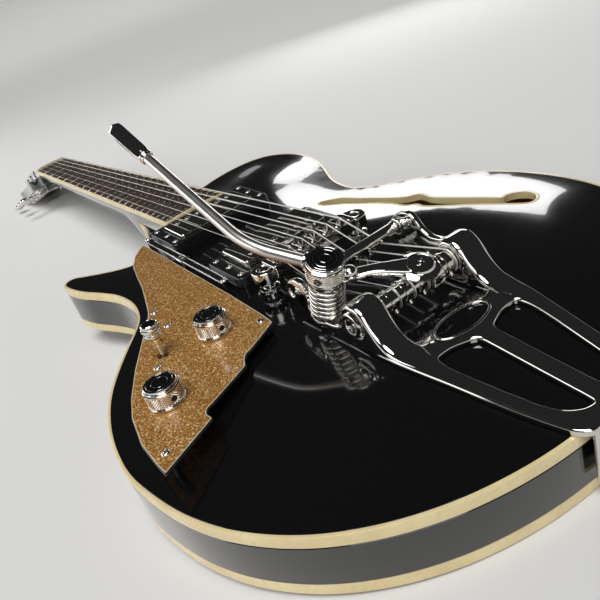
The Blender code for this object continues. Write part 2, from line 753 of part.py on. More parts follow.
def post_wrap(k, t, r, start):
    """Turns of a string round its post, in the plan frame."""
    side = 1 if t > 0 else -1
    order = (5 - k) if side > 0 else k
    cx, cy = POST_X[order], side * POST_Y
    at = HEADFRAME.inverted() @ start
    radius = POST_R + GAP + r
    angle = tangent_angle(at.x, at.y, cx, cy, radius, side)
    turns = 1.1
    pitch = 2 * r + 0.5
    count = 9
    out = []
    for i in range(count + 1):
        a = angle + side * 2 * math.pi * turns * i / count
        z = 9.0 - r - pitch * turns * i / count
        out.append(HEADFRAME @ Vector((cx + radius * math.cos(a), cy + radius * math.sin(a), z)))
    return out


def build_strings():
    for k, t, r in string_spots():
        y = t * NUT_HALF
        start = NECK @ Vector((NUT_X + NUT_LONG - 0.3, y, nut_height(y, r)))
        saddle = saddle_point(k, t, r)
        below = Vector((ROLL[0], saddle.y, ROLL[2] - ROLL_R - 0.5 - r))
        radius = AXLE_R + GAP + r
        first = tangent_angle(below.x, below.z, AXLE[0], AXLE[2], radius, 1)
        wrap = []
        for i in range(6):
            a = first + math.radians(150) * i / 5
            wrap.append(Vector((AXLE[0] + radius * math.cos(a), saddle.y,
                                AXLE[2] + radius * math.sin(a))))
        path = post_wrap(k, t, r, start)[::-1] + [start, saddle, below] + wrap
        piece(f"string_{k + 1}", tube(path, r, 5), "wire", angle=80)


def build_bridge():
    bar = side_prism([(-BAR_HALF, 12.0), (BAR_HALF, 12.0), (BAR_HALF, 19.4),
                      (BAR_HALF - 1.0, 20.4), (-BAR_HALF + 1.0, 20.4), (-BAR_HALF, 19.4)],
                     -STUD_Y + 5, STUD_Y - 5)
    lugs = many([shifted(turn([(0, 11.0), (7.4, 11.0), (7.5, 11.4), (7.5, 17.5), (7.0, 18.0),
                               (0, 18.0)], 16), 0, s * STUD_Y) for s in (1, -1)])
    slots = []
    screws = []
    for k, t, r in string_spots():
        y = t * BRIDGE_HALF
        slots.append(prism(square(SLOT_HALF, SADDLE_WIDE / 2 + GAP, 0, y),
                           14.6, 26))
        head = moved(turn([(0, -2.0), (1.5, -2.0), (1.5, 1.0), (1.1, 1.5), (0, 1.5)], 8),
                     Matrix.Translation((BAR_HALF, y, 16.6))
                     @ Matrix.Rotation(math.radians(90), 4, "Y"))
        screws.append(head)
    bores = [prism(circle(0, s * STUD_Y, STUD_R + GAP, 16), 5, 25) for s in (1, -1)]
    piece("bridge", bar, "chrome", add=[lugs, many(screws)], cut=[many(slots), many(bores)])
    for k, t, r in string_spots():
        p = saddle_point(k, t, r)
        crest = p.z - r - 0.4
        h = SADDLE_HALF
        profile = [(-h, 15.0), (h, 15.0), (h, crest - 3.2), (0.5, crest), (-0.5, crest),
                   (-h, crest - 3.2)]
        piece(f"saddle_{k + 1}", side_prism(profile, -SADDLE_WIDE / 2, SADDLE_WIDE / 2),
              "chrome", frame=Matrix.Translation((p.x, p.y, 0)))
    for s, label in ((1, "near"), (-1, "far")):
        r = STUD_R
        profile = [(0, -18), (r + 0.4, -18), (r + 0.4, 3.0), (WHEEL_R - 0.5, 3.0),
                   (WHEEL_R, 3.5), (WHEEL_R, 5.5), (WHEEL_R - 0.5, 6.0), (r, 6.0),
                   (r, 17.9), (r - 0.5, 18.4), (0, 18.4)]
        slot = prism(square(0.7, 6), 17.2, 20)
        piece(f"bridge_post_{label}", turn(profile, 14), "chrome",
              frame=Matrix.Translation((0, s * STUD_Y, 0)), cut=[slot])


def ring_foot(label, p):
    """Under side of a pickup ring, which follows the arch at the neck."""
    return 0.5 if label == "bridge" else arch(p[0], p[1]) + 1.0


def build_pickups():
    for label, x in RING_X.items():
        outer = box_loop(RING_HALF[0], RING_HALF[1], 4, x)
        crown = box_loop(RING_HALF[0] - 1.6, RING_HALF[1] - 1.6, 3.2, x)
        inner = box_loop(RING_OPEN[0], RING_OPEN[1], 1.5, x)
        if label == "neck":
            outer, crown, inner = (split_sides(p, 5) for p in (outer, crown, inner))
        rings = [[(p[0], p[1], ring_foot(label, p)) for p in inner],
                 [(p[0], p[1], ring_foot(label, p)) for p in outer],
                 [(p[0], p[1], RING_TOP - 1.0) for p in outer],
                 [(p[0], p[1], RING_TOP) for p in crown],
                 [(p[0], p[1], RING_TOP) for p in inner]]
        spots = [(x + a * 17.8, b * 41.2) for a in (1, -1) for b in (1, -1)]
        spots += [(x, b * 40.2) for b in (1, -1)]
        piece(f"{label}_pickup_ring", skin(rings, ring_closed=True), "black",
              add=[screw_heads(spots, 2.0, 2.0, RING_TOP + 0.7)])
        top = COVER_TOP[label]
        loop = box_loop(COVER_HALF[0], COVER_HALF[1], 2.4, x)
        rim = box_loop(COVER_HALF[0] - 0.9, COVER_HALF[1] - 0.9, 1.6, x)
        rings = [[(p[0], p[1], -16.0) for p in loop],
                 [(p[0], p[1], top - 0.9) for p in loop], [(p[0], p[1], top) for p in rim]]
        poles = [(x + 9.5 * (1 if label == "neck" else -1), (k - 2.5) / 2.5 * 25)
                 for k in range(6)]
        piece(f"{label}_pickup", skin(rings), "chrome",
              add=[screw_heads(poles, 2.4, 1.6, top + 0.6)])


def build_guard():
    loop = turned_left(GUARD)
    low = GUARD_TOP - GUARD_THICK
    crown = inset(loop, 1.6)
    rings = [[(p[0], p[1], low) for p in loop], [(p[0], p[1], GUARD_TOP - 1.5) for p in loop],
             [(p[0], p[1], GUARD_TOP) for p in crown]]
    legs = []
    for x, y in GUARD_SCREWS[:3]:
        foot = arch(x, y) + GAP + 0.8
        legs.append(shifted(turn([(0, foot), (2.6, foot), (2.6, low + 0.5), (0, low + 0.5)], 8),
                            x, y))
    heads = screw_heads(GUARD_SCREWS, 2.3, 2.2, GUARD_TOP + 0.7)
    holes = [prism(circle(*spot, SHAFT_R + 0.5, 16), 0, 12) for spot in KNOB_SPOTS.values()]
    holes.append(prism(circle(*SWITCH_SPOT, 3.6, 16), 0, 12))
    piece("pickguard", skin(rings), "gold", add=[many(legs), heads], cut=[many(holes)])


def build_controls():
    high = GUARD_TOP - GUARD_THICK - GAP
    low = high - 2.2
    spots = list(KNOB_SPOTS.values())
    loop = turned_left([
        (spots[0][0] + 10.0, spots[0][1] - 6), (SWITCH_SPOT[0] + 9.0, SWITCH_SPOT[1] + 0.0),
        (SWITCH_SPOT[0] + 2.0, SWITCH_SPOT[1] + 5.5), (spots[1][0] + 8.0, spots[1][1] + 9.0),
        (spots[1][0] - 9.0, spots[1][1] + 4.0), (spots[0][0] - 12.0, spots[0][1] - 4.0)])
    pots = []
    for x, y in spots:
        pots.append(shifted(turn([(0, -9.0), (8.6, -9.0), (8.6, low + 0.5), (0, low + 0.5)], 20),
                            x, y))
        pots.append(shifted(turn([(0, low), (SHAFT_R, low), (SHAFT_R, GUARD_TOP + 8.5),
                                  (0, GUARD_TOP + 8.5)], 12), x, y))
    body = prism(box_loop(5.5, 12.0, 1.5, *SWITCH_SPOT), -22.0, low + 0.5)
    well = prism(circle(*SWITCH_SPOT, SWITCH_BALL_R + 0.5, 16), -4.0, 8.0)
    piece("control_deck", prism(loop, low, high), "chrome", add=[many(pots), body], cut=[well])
    for name, (x, y) in KNOB_SPOTS.items():
        build_knob(name, Matrix.Translation((x, y, GUARD_TOP + GAP)))
    build_switch()


def build_knob(name, frame):
    """Cup with a bore below, a stepped crown and a grub screw hole."""
    r = KNOB_R
    h = KNOB_HIGH
    bore = SHAFT_R + 0.4
    profile = [(0, 9.4), (bore, 9.4), (bore, 0), (r + 0.3, 0), (r + 0.3, 1.4), (r, 1.8),
               (r, h - 2.6), (r - 0.7, h - 2.2), (r - 0.7, h - 1.2), (r - 1.9, h - 0.9),
               (r - 1.9, h - 0.2), (r - 2.6, h), (0, h)]
    hole = moved(turn([(0, 0), (1.5, 0), (1.5, 4), (0, 4)], 10),
                 Matrix.Translation((-r + 1.4, 0, 5.2)) @ Matrix.Rotation(math.radians(-90), 4, "Y"))
    piece(name, turn(profile, 18), "chrome", frame=frame, cut=[hole])


def build_switch():
    frame = Matrix.Translation((*SWITCH_SPOT, SWITCH_PIVOT_Z))
    b = SWITCH_BALL_R
    top = SWITCH_TOP - SWITCH_PIVOT_Z
    profile = [(0, -b), (b * 0.7, -b * 0.7), (b, 0), (b * 0.75, b * 0.7), (1.3, b * 1.1),
               (1.3, top - 6.0), (0, top - 6.0)]
    piece("switch_lever", turn(profile, 10), "chrome", frame=frame)
    low = top - 16.0
    bore = 1.3 + GAP
    tip = [(0, top - 5.5), (bore, top - 5.5), (bore, low), (2.6, low), (3.1, low + 0.6),
           (3.1, low + 4.4), (5.0, low + 7.2), (5.6, low + 8.0), (5.6, low + 9.6),
           (5.0, low + 9.9), (5.0, low + 11.0), (5.9, low + 11.4), (5.9, low + 13.2),
           (5.3, low + 13.6), (5.3, low + 15.2), (4.7, top), (0, top)]
    piece("switch_tip", turn(tip, 14), "chrome", frame=frame)


def plate_height(x, y):
    return arch(x, y) + GAP + 0.6


def frame_loop():
    half = ((-78.0, 44.0), (-112.0, 44.0), (-125.0, 43.0), (-145.0, 39.4), (-175.0, 33.5),
            (-195.0, 30.0), (-212.0, 27.0), (-219.0, 26.0), (-222.8, 22.0))
    front = ((-121.2, 2.0), (-122.2, 8.0), (-124.2, 15.0), (-126.2, 22.0), (-124.0, 27.4),
             (-113.0, 28.4), (-88.0, 28.8), (-78.0, 33.0))
    upper = [np.array(p, float) for p in front + half]
    return turned_left(upper + [np.array((p[0], -p[1])) for p in reversed(upper)])


def frame_windows():
    """Openings in the plate, and the rest for the badge left bare."""
    side = [(-146.0, 27.6), (-142.5, 3.2), (-148.0, 3.0), (-205.0, 3.4), (-209.0, 8.0),
            (-206.0, 16.6), (-180.0, 23.0), (-160.0, 27.2)]
    out = []
    for s in (1, -1):
        pts = [(x, s * max(y, 4.2)) for x, y in side]
        out.append(prism(turned_left(pts), -30, 20))
    return many(out)


def hub_arc(first, last, count):
    """Run round the axle hub in the upright plane, given in degrees."""
    return [(AXLE[0] + EAR_R * math.cos(math.radians(a)), AXLE[2] + EAR_R * math.sin(math.radians(a)))
            for a in np.linspace(first, last, count)]


def ear_profile(side):
    """Upright outline of a cheek, from the bar's fin back over the hub."""
    if side > 0:
        fin = [(-42.0, 1.6), (-37.0, 9.0), (-35.0, 16.0), (-37.0, 22.5), (-42.0, 26.8),
               (-49.0, 29.0), (-54.6, 27.6), (-56.6, 21.0), (-54.6, 11.0), (-60.0, 7.2),
               (-75.0, 7.0), (-84.0, 9.0)]
        hub = hub_arc(-10, 181, 8)
    else:
        fin = [(-42.0, 1.6), (-37.0, 9.0), (-35.0, 16.0), (-37.0, 22.0), (-42.0, 26.4),
               (-49.5, 29.9), (-55.5, 30.4), (-60.2, 27.0), (-64.3, 20.8), (-71.0, 17.2),
               (-80.0, 17.8)]
        hub = hub_arc(40, 181, 6)
    return fin + hub + [(-113.0, 6.0), (-119.0, 1.6), (-119.0, 0.8), (-84.0, 0.8), (-60.0, 1.2)]


def hub_solid(side):
    """Wide housing of the axle, rounded at its inner end, and its foot on the plate."""
    barrel = moved(turn([(0, side * 27.2), (9.6, side * 27.2), (EAR_R - 0.4, side * 30.5),
                         (EAR_R - 0.4, side * 42.0), (0, side * 42.0)], 16),
                   Matrix.Translation(AXLE) @ SPIN_Y @ Matrix.Rotation(0.1, 4, "Z"))
    foot = [(-86.5, 1.0), (-87.6, 9.0), (-88.2, 14.0), (-94.0, 16.0), (-104.0, 16.0),
            (-109.5, 14.0), (-113.0, 7.0), (-119.0, 3.0), (-121.0, 1.0)]
    return [barrel, side_prism(foot, side * 29.3, side * 41.3)]


def build_frame():
    thick = PLATE_THICK
    plate = sheet(frame_loop(), plate_height, lambda x, y: plate_height(x, y) + thick, 22.0)
    ears = many([side_prism(ear_profile(s), s * EAR_Y[0], s * EAR_Y[1]) for s in (1, -1)])
    barrels = [many([hub_solid(s)[k] for s in (1, -1)]) for k in (0, 1)]
    tail = side_prism([(-220.2, -6.6), (-220.2, -38.0), (-222.8, -39.0), (-223.6, -37.0),
                       (-223.6, -7.4), (-221.6, -5.6)], -21.0, 21.0)
    down = LEVER @ Matrix.Translation((*KNOB_SPOT, 0))
    seat = moved(turn([(0, SEAT_LEVEL - 3.0), (10.4, SEAT_LEVEL - 3.0),
                       (10.4, SEAT_LEVEL - 0.3), (10.0, SEAT_LEVEL), (0, SEAT_LEVEL)], 24), down)
    post_low = arch(-66.0, 36.5) + GAP
    foot = shifted(prism(box_loop(7.0, 6.0, 2.0), post_low, 7.0), -66.0, 38.0)
    badge = prism([np.array((-131.2 + 8.4 * math.cos(a), 18.2 * math.sin(a)))
                   for a in np.linspace(0, 2 * math.pi, 20, endpoint=False)],
                  lambda x, y: plate_height(x, y) + thick - 0.8, 20)
    bearing = many([moved(turn([(0, s * 25), (7.3, s * 25), (7.3, s * 39.8), (7.0, s * 39.8),
                                (7.0, s * 48), (0, s * 48)], 16),
                          Matrix.Translation(AXLE) @ SPIN_Y) for s in (1, -1)])
    pins = many([moved(turn([(0, s * 36), (2.5, s * 36), (2.5, s * 48), (0, s * 48)], 14),
                       Matrix.Translation(ROLL) @ SPIN_Y) for s in (1, -1)])
    strap = moved(turn([(0, 0), (2.1, 0), (2.1, 9), (0, 9)], 10),
                  STRAP_FRAMES["strap_button_tail"])
    piece("tremolo_frame", plate, "chrome", add=[ears, *barrels, tail, many([foot]), seat],
          cut=[frame_windows(), badge, bearing, pins, strap])


def build_axle():
    stand = Matrix.Translation(AXLE) @ SPIN_Y
    inner = EAR_Y[0] - 0.6
    profile = [(0, -44.0), (JOURNAL_R, -44.0), (JOURNAL_R, -inner)]
    profile += [(AXLE_R + 0.9, -inner), (AXLE_R + 0.9, -inner + 2.5), (AXLE_R, -inner + 2.5)]
    for y in (-20.8, 10.4):
        profile += [(AXLE_R, y - 0.9), (AXLE_R + 0.8, y - 0.9), (AXLE_R + 0.8, y + 0.9),
                    (AXLE_R, y + 0.9)]
    profile += [(AXLE_R, inner - 2.5), (AXLE_R + 0.9, inner - 2.5), (AXLE_R + 0.9, inner),
                (JOURNAL_R, inner), (JOURNAL_R, 44.0), (0, 44.0)]
    piece("tremolo_axle", turn(profile, 14), "chrome", frame=stand)
    for s, label in ((1, "near"), (-1, "far")):
        cup = [(0, 44.5), (JOURNAL_R + 0.4, 44.5), (JOURNAL_R + 0.4, 40.0), (6.5, 40.0),
               (6.5, 44.35), (7.6, 44.35), (7.6, 45.4), (6.8, 46.2), (2.6, 46.2), (2.0, 45.6),
               (0, 45.6)]
        solid = turn([(r, s * z) for r, z in cup], 16)
        piece(f"axle_bearing_{label}", solid, "chrome", frame=stand)
    stand = Matrix.Translation(ROLL) @ SPIN_Y
    half = ROLL_HALF
    roll = [(0, -half - 5.0), (2.1, -half - 5.0), (2.1, -half), (ROLL_R + 0.5, -half),
            (ROLL_R + 0.5, -half + 2.4), (ROLL_R, -half + 2.4)]
    roll += [(r, -z) for r, z in roll[::-1]]
    piece("tension_bar", turn(roll, 16), "chrome", frame=stand)


def build_lever():
    """Cranked lever clamped on the axle, with a ring under the arm knob."""
    kx, ky = KNOB_SPOT
    stations = ((1.0, LEVER_Y + 4, 10.0, 5.0, 1.9), (7.0, -1.0, 9.9, 4.4, 2.3),
                (14.0, 10.5, 9.3, 3.8, 2.6), (20.0, 20.5, 8.0, 3.8, 2.2),
                (24.5, 27.5, 6.7, 4.2, 1.25), (28.6, 33.6, 6.65, 5.0, 1.2))
    across = Vector((ky - LEVER_Y, -(kx - 1.0), 0)).normalized()
    rings = []
    for x, y, z, wide, tall in stations:
        ring = []
        for u, v in ((1, -0.5), (1, 0.5), (0.6, 1), (-0.6, 1), (-1, 0.5), (-1, -0.5),
                     (-0.6, -1), (0.6, -1)):
            p = Vector((x, y, z)) + across * (wide * u)
            ring.append((p.x, p.y, p.z + tall * v))
        rings.append(ring)
    disc = shifted(turn([(0, 7.95), (10.8, 7.95), (11.3, 8.4), (11.3, 11.2), (10.4, 11.8),
                         (3.4, 11.8), (3.2, 11.2), (2.6, 11.2), (2.2, 12.4), (0, 12.4)], 18),
                   *HUB_SPOT)
    clamp = moved(turn([(AXLE_R + GAP, -3.9), (9.3, -3.9), (9.3, 3.9), (AXLE_R + GAP, 3.9)],
                       14, ring=True), Matrix.Translation((0, LEVER_Y, 0)) @ SPIN_Y)
    eye = shifted(turn([(0, 5.3), (9.4, 5.3), (9.9, 5.7), (9.9, 7.6), (9.4, 8.0),
                        (0, 8.0)], 18), kx, ky)
    hole = prism(circle(kx, ky, 3.8, 16), 0, 14)
    piece("rocker_lever", skin(rings), "chrome", frame=LEVER, add=[disc, clamp, eye],
          cut=[hole])


def build_arm():
    kx, ky = KNOB_SPOT
    frame = LEVER @ Matrix.Translation((kx, ky, 0))
    low = 8.0 + GAP
    profile = [(0, 1.0), (3.2, 1.0), (3.2, low), (10.2, low), (10.4, low + 1.0),
               (11.2, low + 1.4), (11.2, 18.6), (10.9, 19.0), (10.9, 20.2), (9.7, 20.5),
               (9.7, 21.4), (9.0, 21.9), (0, 21.9)]
    away = Vector((51.3, 26.1, 0)).normalized()
    turned = away.to_track_quat("Z", "Y").to_matrix().to_4x4()
    bore = moved(turn([(0, -20), (ARM_R + GAP, -20), (ARM_R + GAP, 20), (0, 20)], 20),
                 Matrix.Translation((0, 0, ARM_LEVEL)) @ turned)
    cross = away.cross(Vector((0, 0, 1)))
    grub = moved(turn([(0, 0), (1.7, 0), (1.7, 5), (0, 5)], 10),
                 Matrix.Translation(-cross * 0 + Vector((0, 0, 13.0)) + cross * 9.0)
                 @ cross.to_track_quat("Z", "Y").to_matrix().to_4x4())
    piece("arm_knob", turn(profile, 18), "chrome", frame=frame, cut=[bore, grub])
    corner = away * 47.2
    tip = Vector((230.7 - kx, 55.6 - ky, 0))
    ahead = (tip - corner).normalized()
    reach = 15.0
    path = [away * -14.0]
    bend = [corner - away * reach, corner, corner + ahead * reach]
    for i in range(6):
        t = i / 5
        path.append(bend[0] * (1 - t) ** 2 + bend[1] * (2 * t * (1 - t)) + bend[2] * t * t)
    long = (tip - corner).length
    grip = long - 43.0
    rads = [ARM_R] * len(path)
    for d, r in ((grip - 1.0, ARM_R), (grip - 1.0, 4.3), (grip + 1.2, 4.3), (grip + 1.2, 4.9),
                 (grip + 10, 5.5), (grip + 34, 5.5), (grip + 41, 4.6), (grip + 43.0, 2.4)):
        path.append(corner + ahead * d + Vector((0, 0, 0)))
        rads.append(r)
    path = [p + Vector((0, 0, ARM_LEVEL)) for p in path]
    ball = moved(turn([(0, -4.2), (2.4, -3.6), (4.0, -1.6), (4.2, 0), (4.0, 1.6), (2.4, 3.6),
                       (0, 4.2)], 14), Matrix.Translation(path[0]))
    piece("tremolo_arm", spread_tube(path, rads, 10), "chrome", frame=frame, add=[ball],
          angle=40)


def spread_tube(path, rads, sides):
    """Bar with steps in its thickness, in one plane."""
    rings = []
    for i, p in enumerate(path):
        a = path[max(0, i - 1)]
        b = path[min(len(path) - 1, i + 1)]
        along = (b - a).normalized()
        side = along.cross(Vector((0, 0, 1))).normalized()
        rings.append([tuple(p + side * (rads[i] * math.cos(2 * math.pi * k / sides))
                            + Vector((0, 0, rads[i] * math.sin(2 * math.pi * k / sides))))
                      for k in range(sides)])
    return skin(rings)


def build_spring():
    """Coil in one unbroken wire, its ends straight into what they meet."""
    frame = LEVER @ Matrix.Translation((*KNOB_SPOT, SEAT_LEVEL + GAP))
    tall = SPRING_TOP - SEAT_LEVEL - GAP
    low = 2 * WIRE_R + 1.0
    high = tall - low
    steps = int(SPRING_TURNS * 8)
    path = [Vector((SPRING_R, 0, 0))]
    for i in range(steps + 1):
        t = i / steps
        a = 2 * math.pi * SPRING_TURNS * t
        path.append(Vector((SPRING_R * math.cos(a), SPRING_R * math.sin(a), lerp(low, high, t))))
    path.append(Vector((path[-1].x, path[-1].y, tall)))
    least = 1e9
    for i in range(len(path)):
        for j in range(i + 6, len(path)):
            least = min(least, (path[i] - path[j]).length - 2 * WIRE_R)
    print("spring least self gap mm:", round(least, 3))
    piece("tremolo_spring", tube(path, WIRE_R, 6), "wire", frame=frame, angle=70)


def build_fittings():
    jack = [(0, -16.0), (2.4, -16.0), (3.45, -15.0), (3.45, 4.0), (5.4, 4.0), (6.0, 3.4),
            (6.0, 2.2), (11.0, 1.6), (11.4, GAP), (4.9, GAP), (4.9, -18.0), (0, -18.0)]
    piece("output_jack", turn(jack, 14), "chrome", frame=JACK_FRAME)
    for name, frame in STRAP_FRAMES.items():
        base = 5.6 + GAP if "tail" in name else GAP
        profile = [(0, -12.0), (1.5, -12.0), (1.5, base), (5.6, base), (5.6, base + 1.2),
                   (3.2, base + 3.0), (3.2, base + 6.0), (6.8, base + 8.2), (6.8, base + 9.4),
                   (5.4, base + 10.4), (0, base + 10.4)]
        piece(name, turn(profile, 14), "chrome", frame=frame)


def settle():
    """Lie the guitar on its back, the tail and the head end on the floor."""
    tail = Vector((-217.0, 0, BACK_Z))
    head = HEADFRAME @ Vector((HEAD_LONG, 0, -HEAD_THICK))
    pitch = math.atan2(head.z - tail.z, head.x - tail.x)
    ROOT.rotation_euler = (0, pitch, 0)
    bpy.context.view_layer.update()
    graph = bpy.context.evaluated_depsgraph_get()
    low = np.full(3, 1e9)
    high = np.full(3, -1e9)
    for obj in bpy.context.scene.objects:
        if obj.type != "MESH" or obj.hide_render:
            continue
        done = obj.evaluated_get(graph)
        mesh = done.to_mesh()
        pts = np.array([tuple(obj.matrix_world @ v.co) for v in mesh.vertices])
        done.to_mesh_clear()
        low = np.minimum(low, pts.min(0))
        high = np.maximum(high, pts.max(0))
    ROOT.location = (-(low[0] + high[0]) / 2, -(low[1] + high[1]) / 2, -low[2])
    bpy.context.view_layer.update()


def main():
    global ROOT
    for obj in list(bpy.data.objects):
        bpy.data.objects.remove(obj, do_unlink=True)
    ROOT = bpy.data.objects.new("guitar_root", None)
    bpy.context.scene.collection.objects.link(ROOT)
    build_body()
    build_neck()
    build_board()
    build_nut()
    build_tuners()
    build_strings()
    build_bridge()
    build_pickups()
    build_guard()
    build_controls()
    build_frame()
    build_axle()
    build_lever()
    build_arm()
    build_spring()
    build_fittings()
    settle()


main()
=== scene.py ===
"""Looks of the left-handed semi-acoustic guitar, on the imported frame.

Shapes are worked out in the guitar's own plan axes, in millimetres: X from the
bridge to the nut, Y to the control side, Z out of the top.
"""
import json
import math

import bpy
import bmesh
import numpy as np
from mathutils import Matrix, Vector
from mathutils.geometry import delaunay_2d_cdt


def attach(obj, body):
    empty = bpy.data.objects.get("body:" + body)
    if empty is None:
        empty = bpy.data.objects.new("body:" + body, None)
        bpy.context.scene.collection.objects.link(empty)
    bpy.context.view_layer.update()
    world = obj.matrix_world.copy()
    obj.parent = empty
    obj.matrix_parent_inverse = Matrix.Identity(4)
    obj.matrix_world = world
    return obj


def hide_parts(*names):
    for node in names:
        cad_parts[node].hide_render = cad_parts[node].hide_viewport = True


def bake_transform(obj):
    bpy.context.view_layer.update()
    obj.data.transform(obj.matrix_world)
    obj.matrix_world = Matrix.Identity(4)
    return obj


MM = 0.001
TAU = 2 * math.pi
norm = np.linalg.norm
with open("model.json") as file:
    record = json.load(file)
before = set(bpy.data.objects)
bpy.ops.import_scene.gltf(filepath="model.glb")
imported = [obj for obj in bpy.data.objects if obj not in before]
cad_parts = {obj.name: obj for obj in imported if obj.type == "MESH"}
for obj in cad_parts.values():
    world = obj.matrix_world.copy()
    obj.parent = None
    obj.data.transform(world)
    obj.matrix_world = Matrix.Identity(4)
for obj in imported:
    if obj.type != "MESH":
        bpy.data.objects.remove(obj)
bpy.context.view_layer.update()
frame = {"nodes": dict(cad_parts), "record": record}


JOINTS = {j["name"]: j for j in frame["record"]["behaviour"]["joints"]}

TOP_EDGE_Z = -9.0
ARCH_REACH = 90.0
BACK_Z = -47.0
BACK_INSIDE_Z = -41.5
BIND_HIGH = 7.0
BIND_THICK = 1.8
RIM_THICK = 6.5
TOP_THICK = 5.0
BLOCK_HALF = 45.0
BLOCK_TOP_Z = -14.5
POCKET_END = 190.0
POCKET_HALF = 28.15
POCKET_Z = -32.0
HEEL_X = 257.75
HEEL_DEEP = 43.0
TONGUE_END = 261.0
SCALE = 648.0
SLOPE = 3.05
HEAD_PITCH = 15.0
BOARD_PLANE_Z = 18.9
BOARD_THICK = 6.0
BOARD_RADIUS = 305.0
BOARD_END = 177.2
BOARD_HALF = (28.5, 21.5)
BOARD_BIND = 1.6
FRETS = 22
SIDES = ((1, "near"), (-1, "far"))
NUT_X = 649.0
NUT_LONG = 4.6
NUT_HALF = 18.4
STRING_LIFT = 2.3
SADDLE_Z = 23.8
SADDLE_HALF = (2.2, 3.4)
BRIDGE_HALF = 26.0
BAR_HALF = 8.4
STRING_R = (0.60, 0.50, 0.41, 0.32, 0.26, 0.23)
HEAD_THICK = 14.0
POST_X = (43.0, 83.0, 123.0)
POST_Y = 21.0
POST_R = 3.0
BUTTON_Y = 44.0
POST_SEAT = 9.0
POST_TURNS = 1.1
AXLE_WRAP = 150.0
STUD_Y = 37.5
SADDLE_X = (-1.6, -1.0, -0.4, -1.2, -0.6, 0.2)
RING_X = {"neck": 152.0, "bridge": 48.1}
RING_TOP = 7.9
RING_HALF = (24.0, 46.0)
RING_HOLE = (18.6, 35.6)
COVER_HALF = (17.8, 34.8)
POLE_ROW = 9.5
POLE_HALF = 25.0
COVER_TOP = {"neck": 9.8, "bridge": 13.8}
GUARD_TOP = 7.0
GUARD_LOW = GUARD_TOP - 2.0
GUARD_BEVEL = 1.0
# Both ends of the trim, its middle line and its height.
TRIM = (36.0, 171.0, 51.0, 6.4)
TRIM_RAIL = 2.6
GUARD_SCREWS = ((-31.7, 64.6), (-85.7, 156.7), (48.4, 101.1), (-14.0, 127.7), (23.4, 102.7))
KNOB_SPOTS = {"volume_knob": (-13.8, 87.2), "tone_knob": (-48.5, 137.2)}
KNURL_PER = 4
SWITCH_SPOT = (-4.5, 119.4)
SWITCH_PIVOT_Z = 3.2
SWITCH_TOP_Z = 30.4
AXLE = (-99.0, 0.0, 16.5)
AXLE_R = 6.0
AXLE_SHOULDER = 39.4
ROLL = (-41.0, 0.0, 18.0)
ROLL_R = 3.85
ROLL_HALF = 38.0
LEVER_PITCH = 20.0
LEVER_Y = -10.8
HUB_SPOT = (1.0, -4.5)
HUB_BORE = 7.35
# Middle and half widths of the bare oval recess.
BADGE = (-131.2, 8.4, 18.2)
KNOB_SPOT = (30.4, 36.5)
ARM_LEVEL = 15.6
ARM_R = 3.5
ARM_BEND = 17.0
ARM_TIP = (230.7, 55.6)
GRIP_LONG = 43.0
SEAT_LEVEL = -19.4
SPRING_TOP = 4.9
SPRING_R = 9.0
SPRING_WIRE = 1.4
SPRING_TURNS = 5.5
TAIL_X = -216.0
PHOTO_FOCAL = 704.47
PHOTO_WIDTH = 600

OUTLINE = (
    (257, 28), (240, 31.2), (223, 36), (205, 42), (190, 49), (180, 56), (175.6, 63.5),
    (177, 72), (184.5, 83), (194.5, 93.5), (204.5, 103), (212, 110), (213.6, 116),
    (210.5, 121), (204.5, 122.9), (193.4, 121.6), (177.4, 117.3), (156, 108), (135.1, 101),
    (108.9, 99.2), (86.3, 104.4), (72, 113.2), (54.9, 127.3), (28.8, 147), (8.3, 158.9),
    (-14, 167.6), (-37, 173.2), (-62.7, 175.6), (-90, 172.6), (-115, 166.6), (-140, 155.6),
    (-165, 137.4), (-185, 114.7), (-200, 88.9), (-210, 61.5), (-216, 32.5), (-218, 0),
    (-216, -32.5), (-210, -61.5), (-200, -88.9), (-185, -114.7), (-165, -137.2),
    (-140, -155), (-115, -165.6), (-91.5, -171.6), (-73.5, -174.3), (-48.2, -174.7),
    (-19.7, -170.8), (7.3, -162.4), (32.3, -149.2), (53.4, -132.9), (69.9, -117.5),
    (84.3, -108.1), (98.8, -104.4), (125.1, -109), (157.4, -123.5), (177, -131),
    (196.2, -135.4), (211, -136.6), (226, -135.2), (242, -130), (256, -120.5),
    (264.9, -105), (268, -87), (267, -68), (262.6, -49), (258.4, -36), (257, -28),
)
F_HOLE = (
    (92.2, -71.8), (91.2, -76.6), (87.6, -81.6), (81.6, -86.6), (66, -91), (46, -97),
    (27.2, -102.4), (22.4, -106.8), (19.1, -111.4), (13.6, -111), (3.6, -108.8),
    (-6.4, -110.4), (-26, -117.4), (-42, -123.8), (-47.8, -127), (-47.4, -132.6),
    (-49.8, -139.2), (-56, -143), (-63.4, -141.6), (-68.4, -136.4), (-70.2, -129.6),
    (-66.6, -124.4), (-52, -115.8), (-34.9, -106.6), (-20, -98.8), (-7, -93.2), (1.4, -94.2),
    (9.5, -89.6), (24, -89.6), (42.9, -86.6), (58, -81), (68.4, -77.6), (76.4, -72.4),
    (82, -68.8), (88.6, -67.8),
)
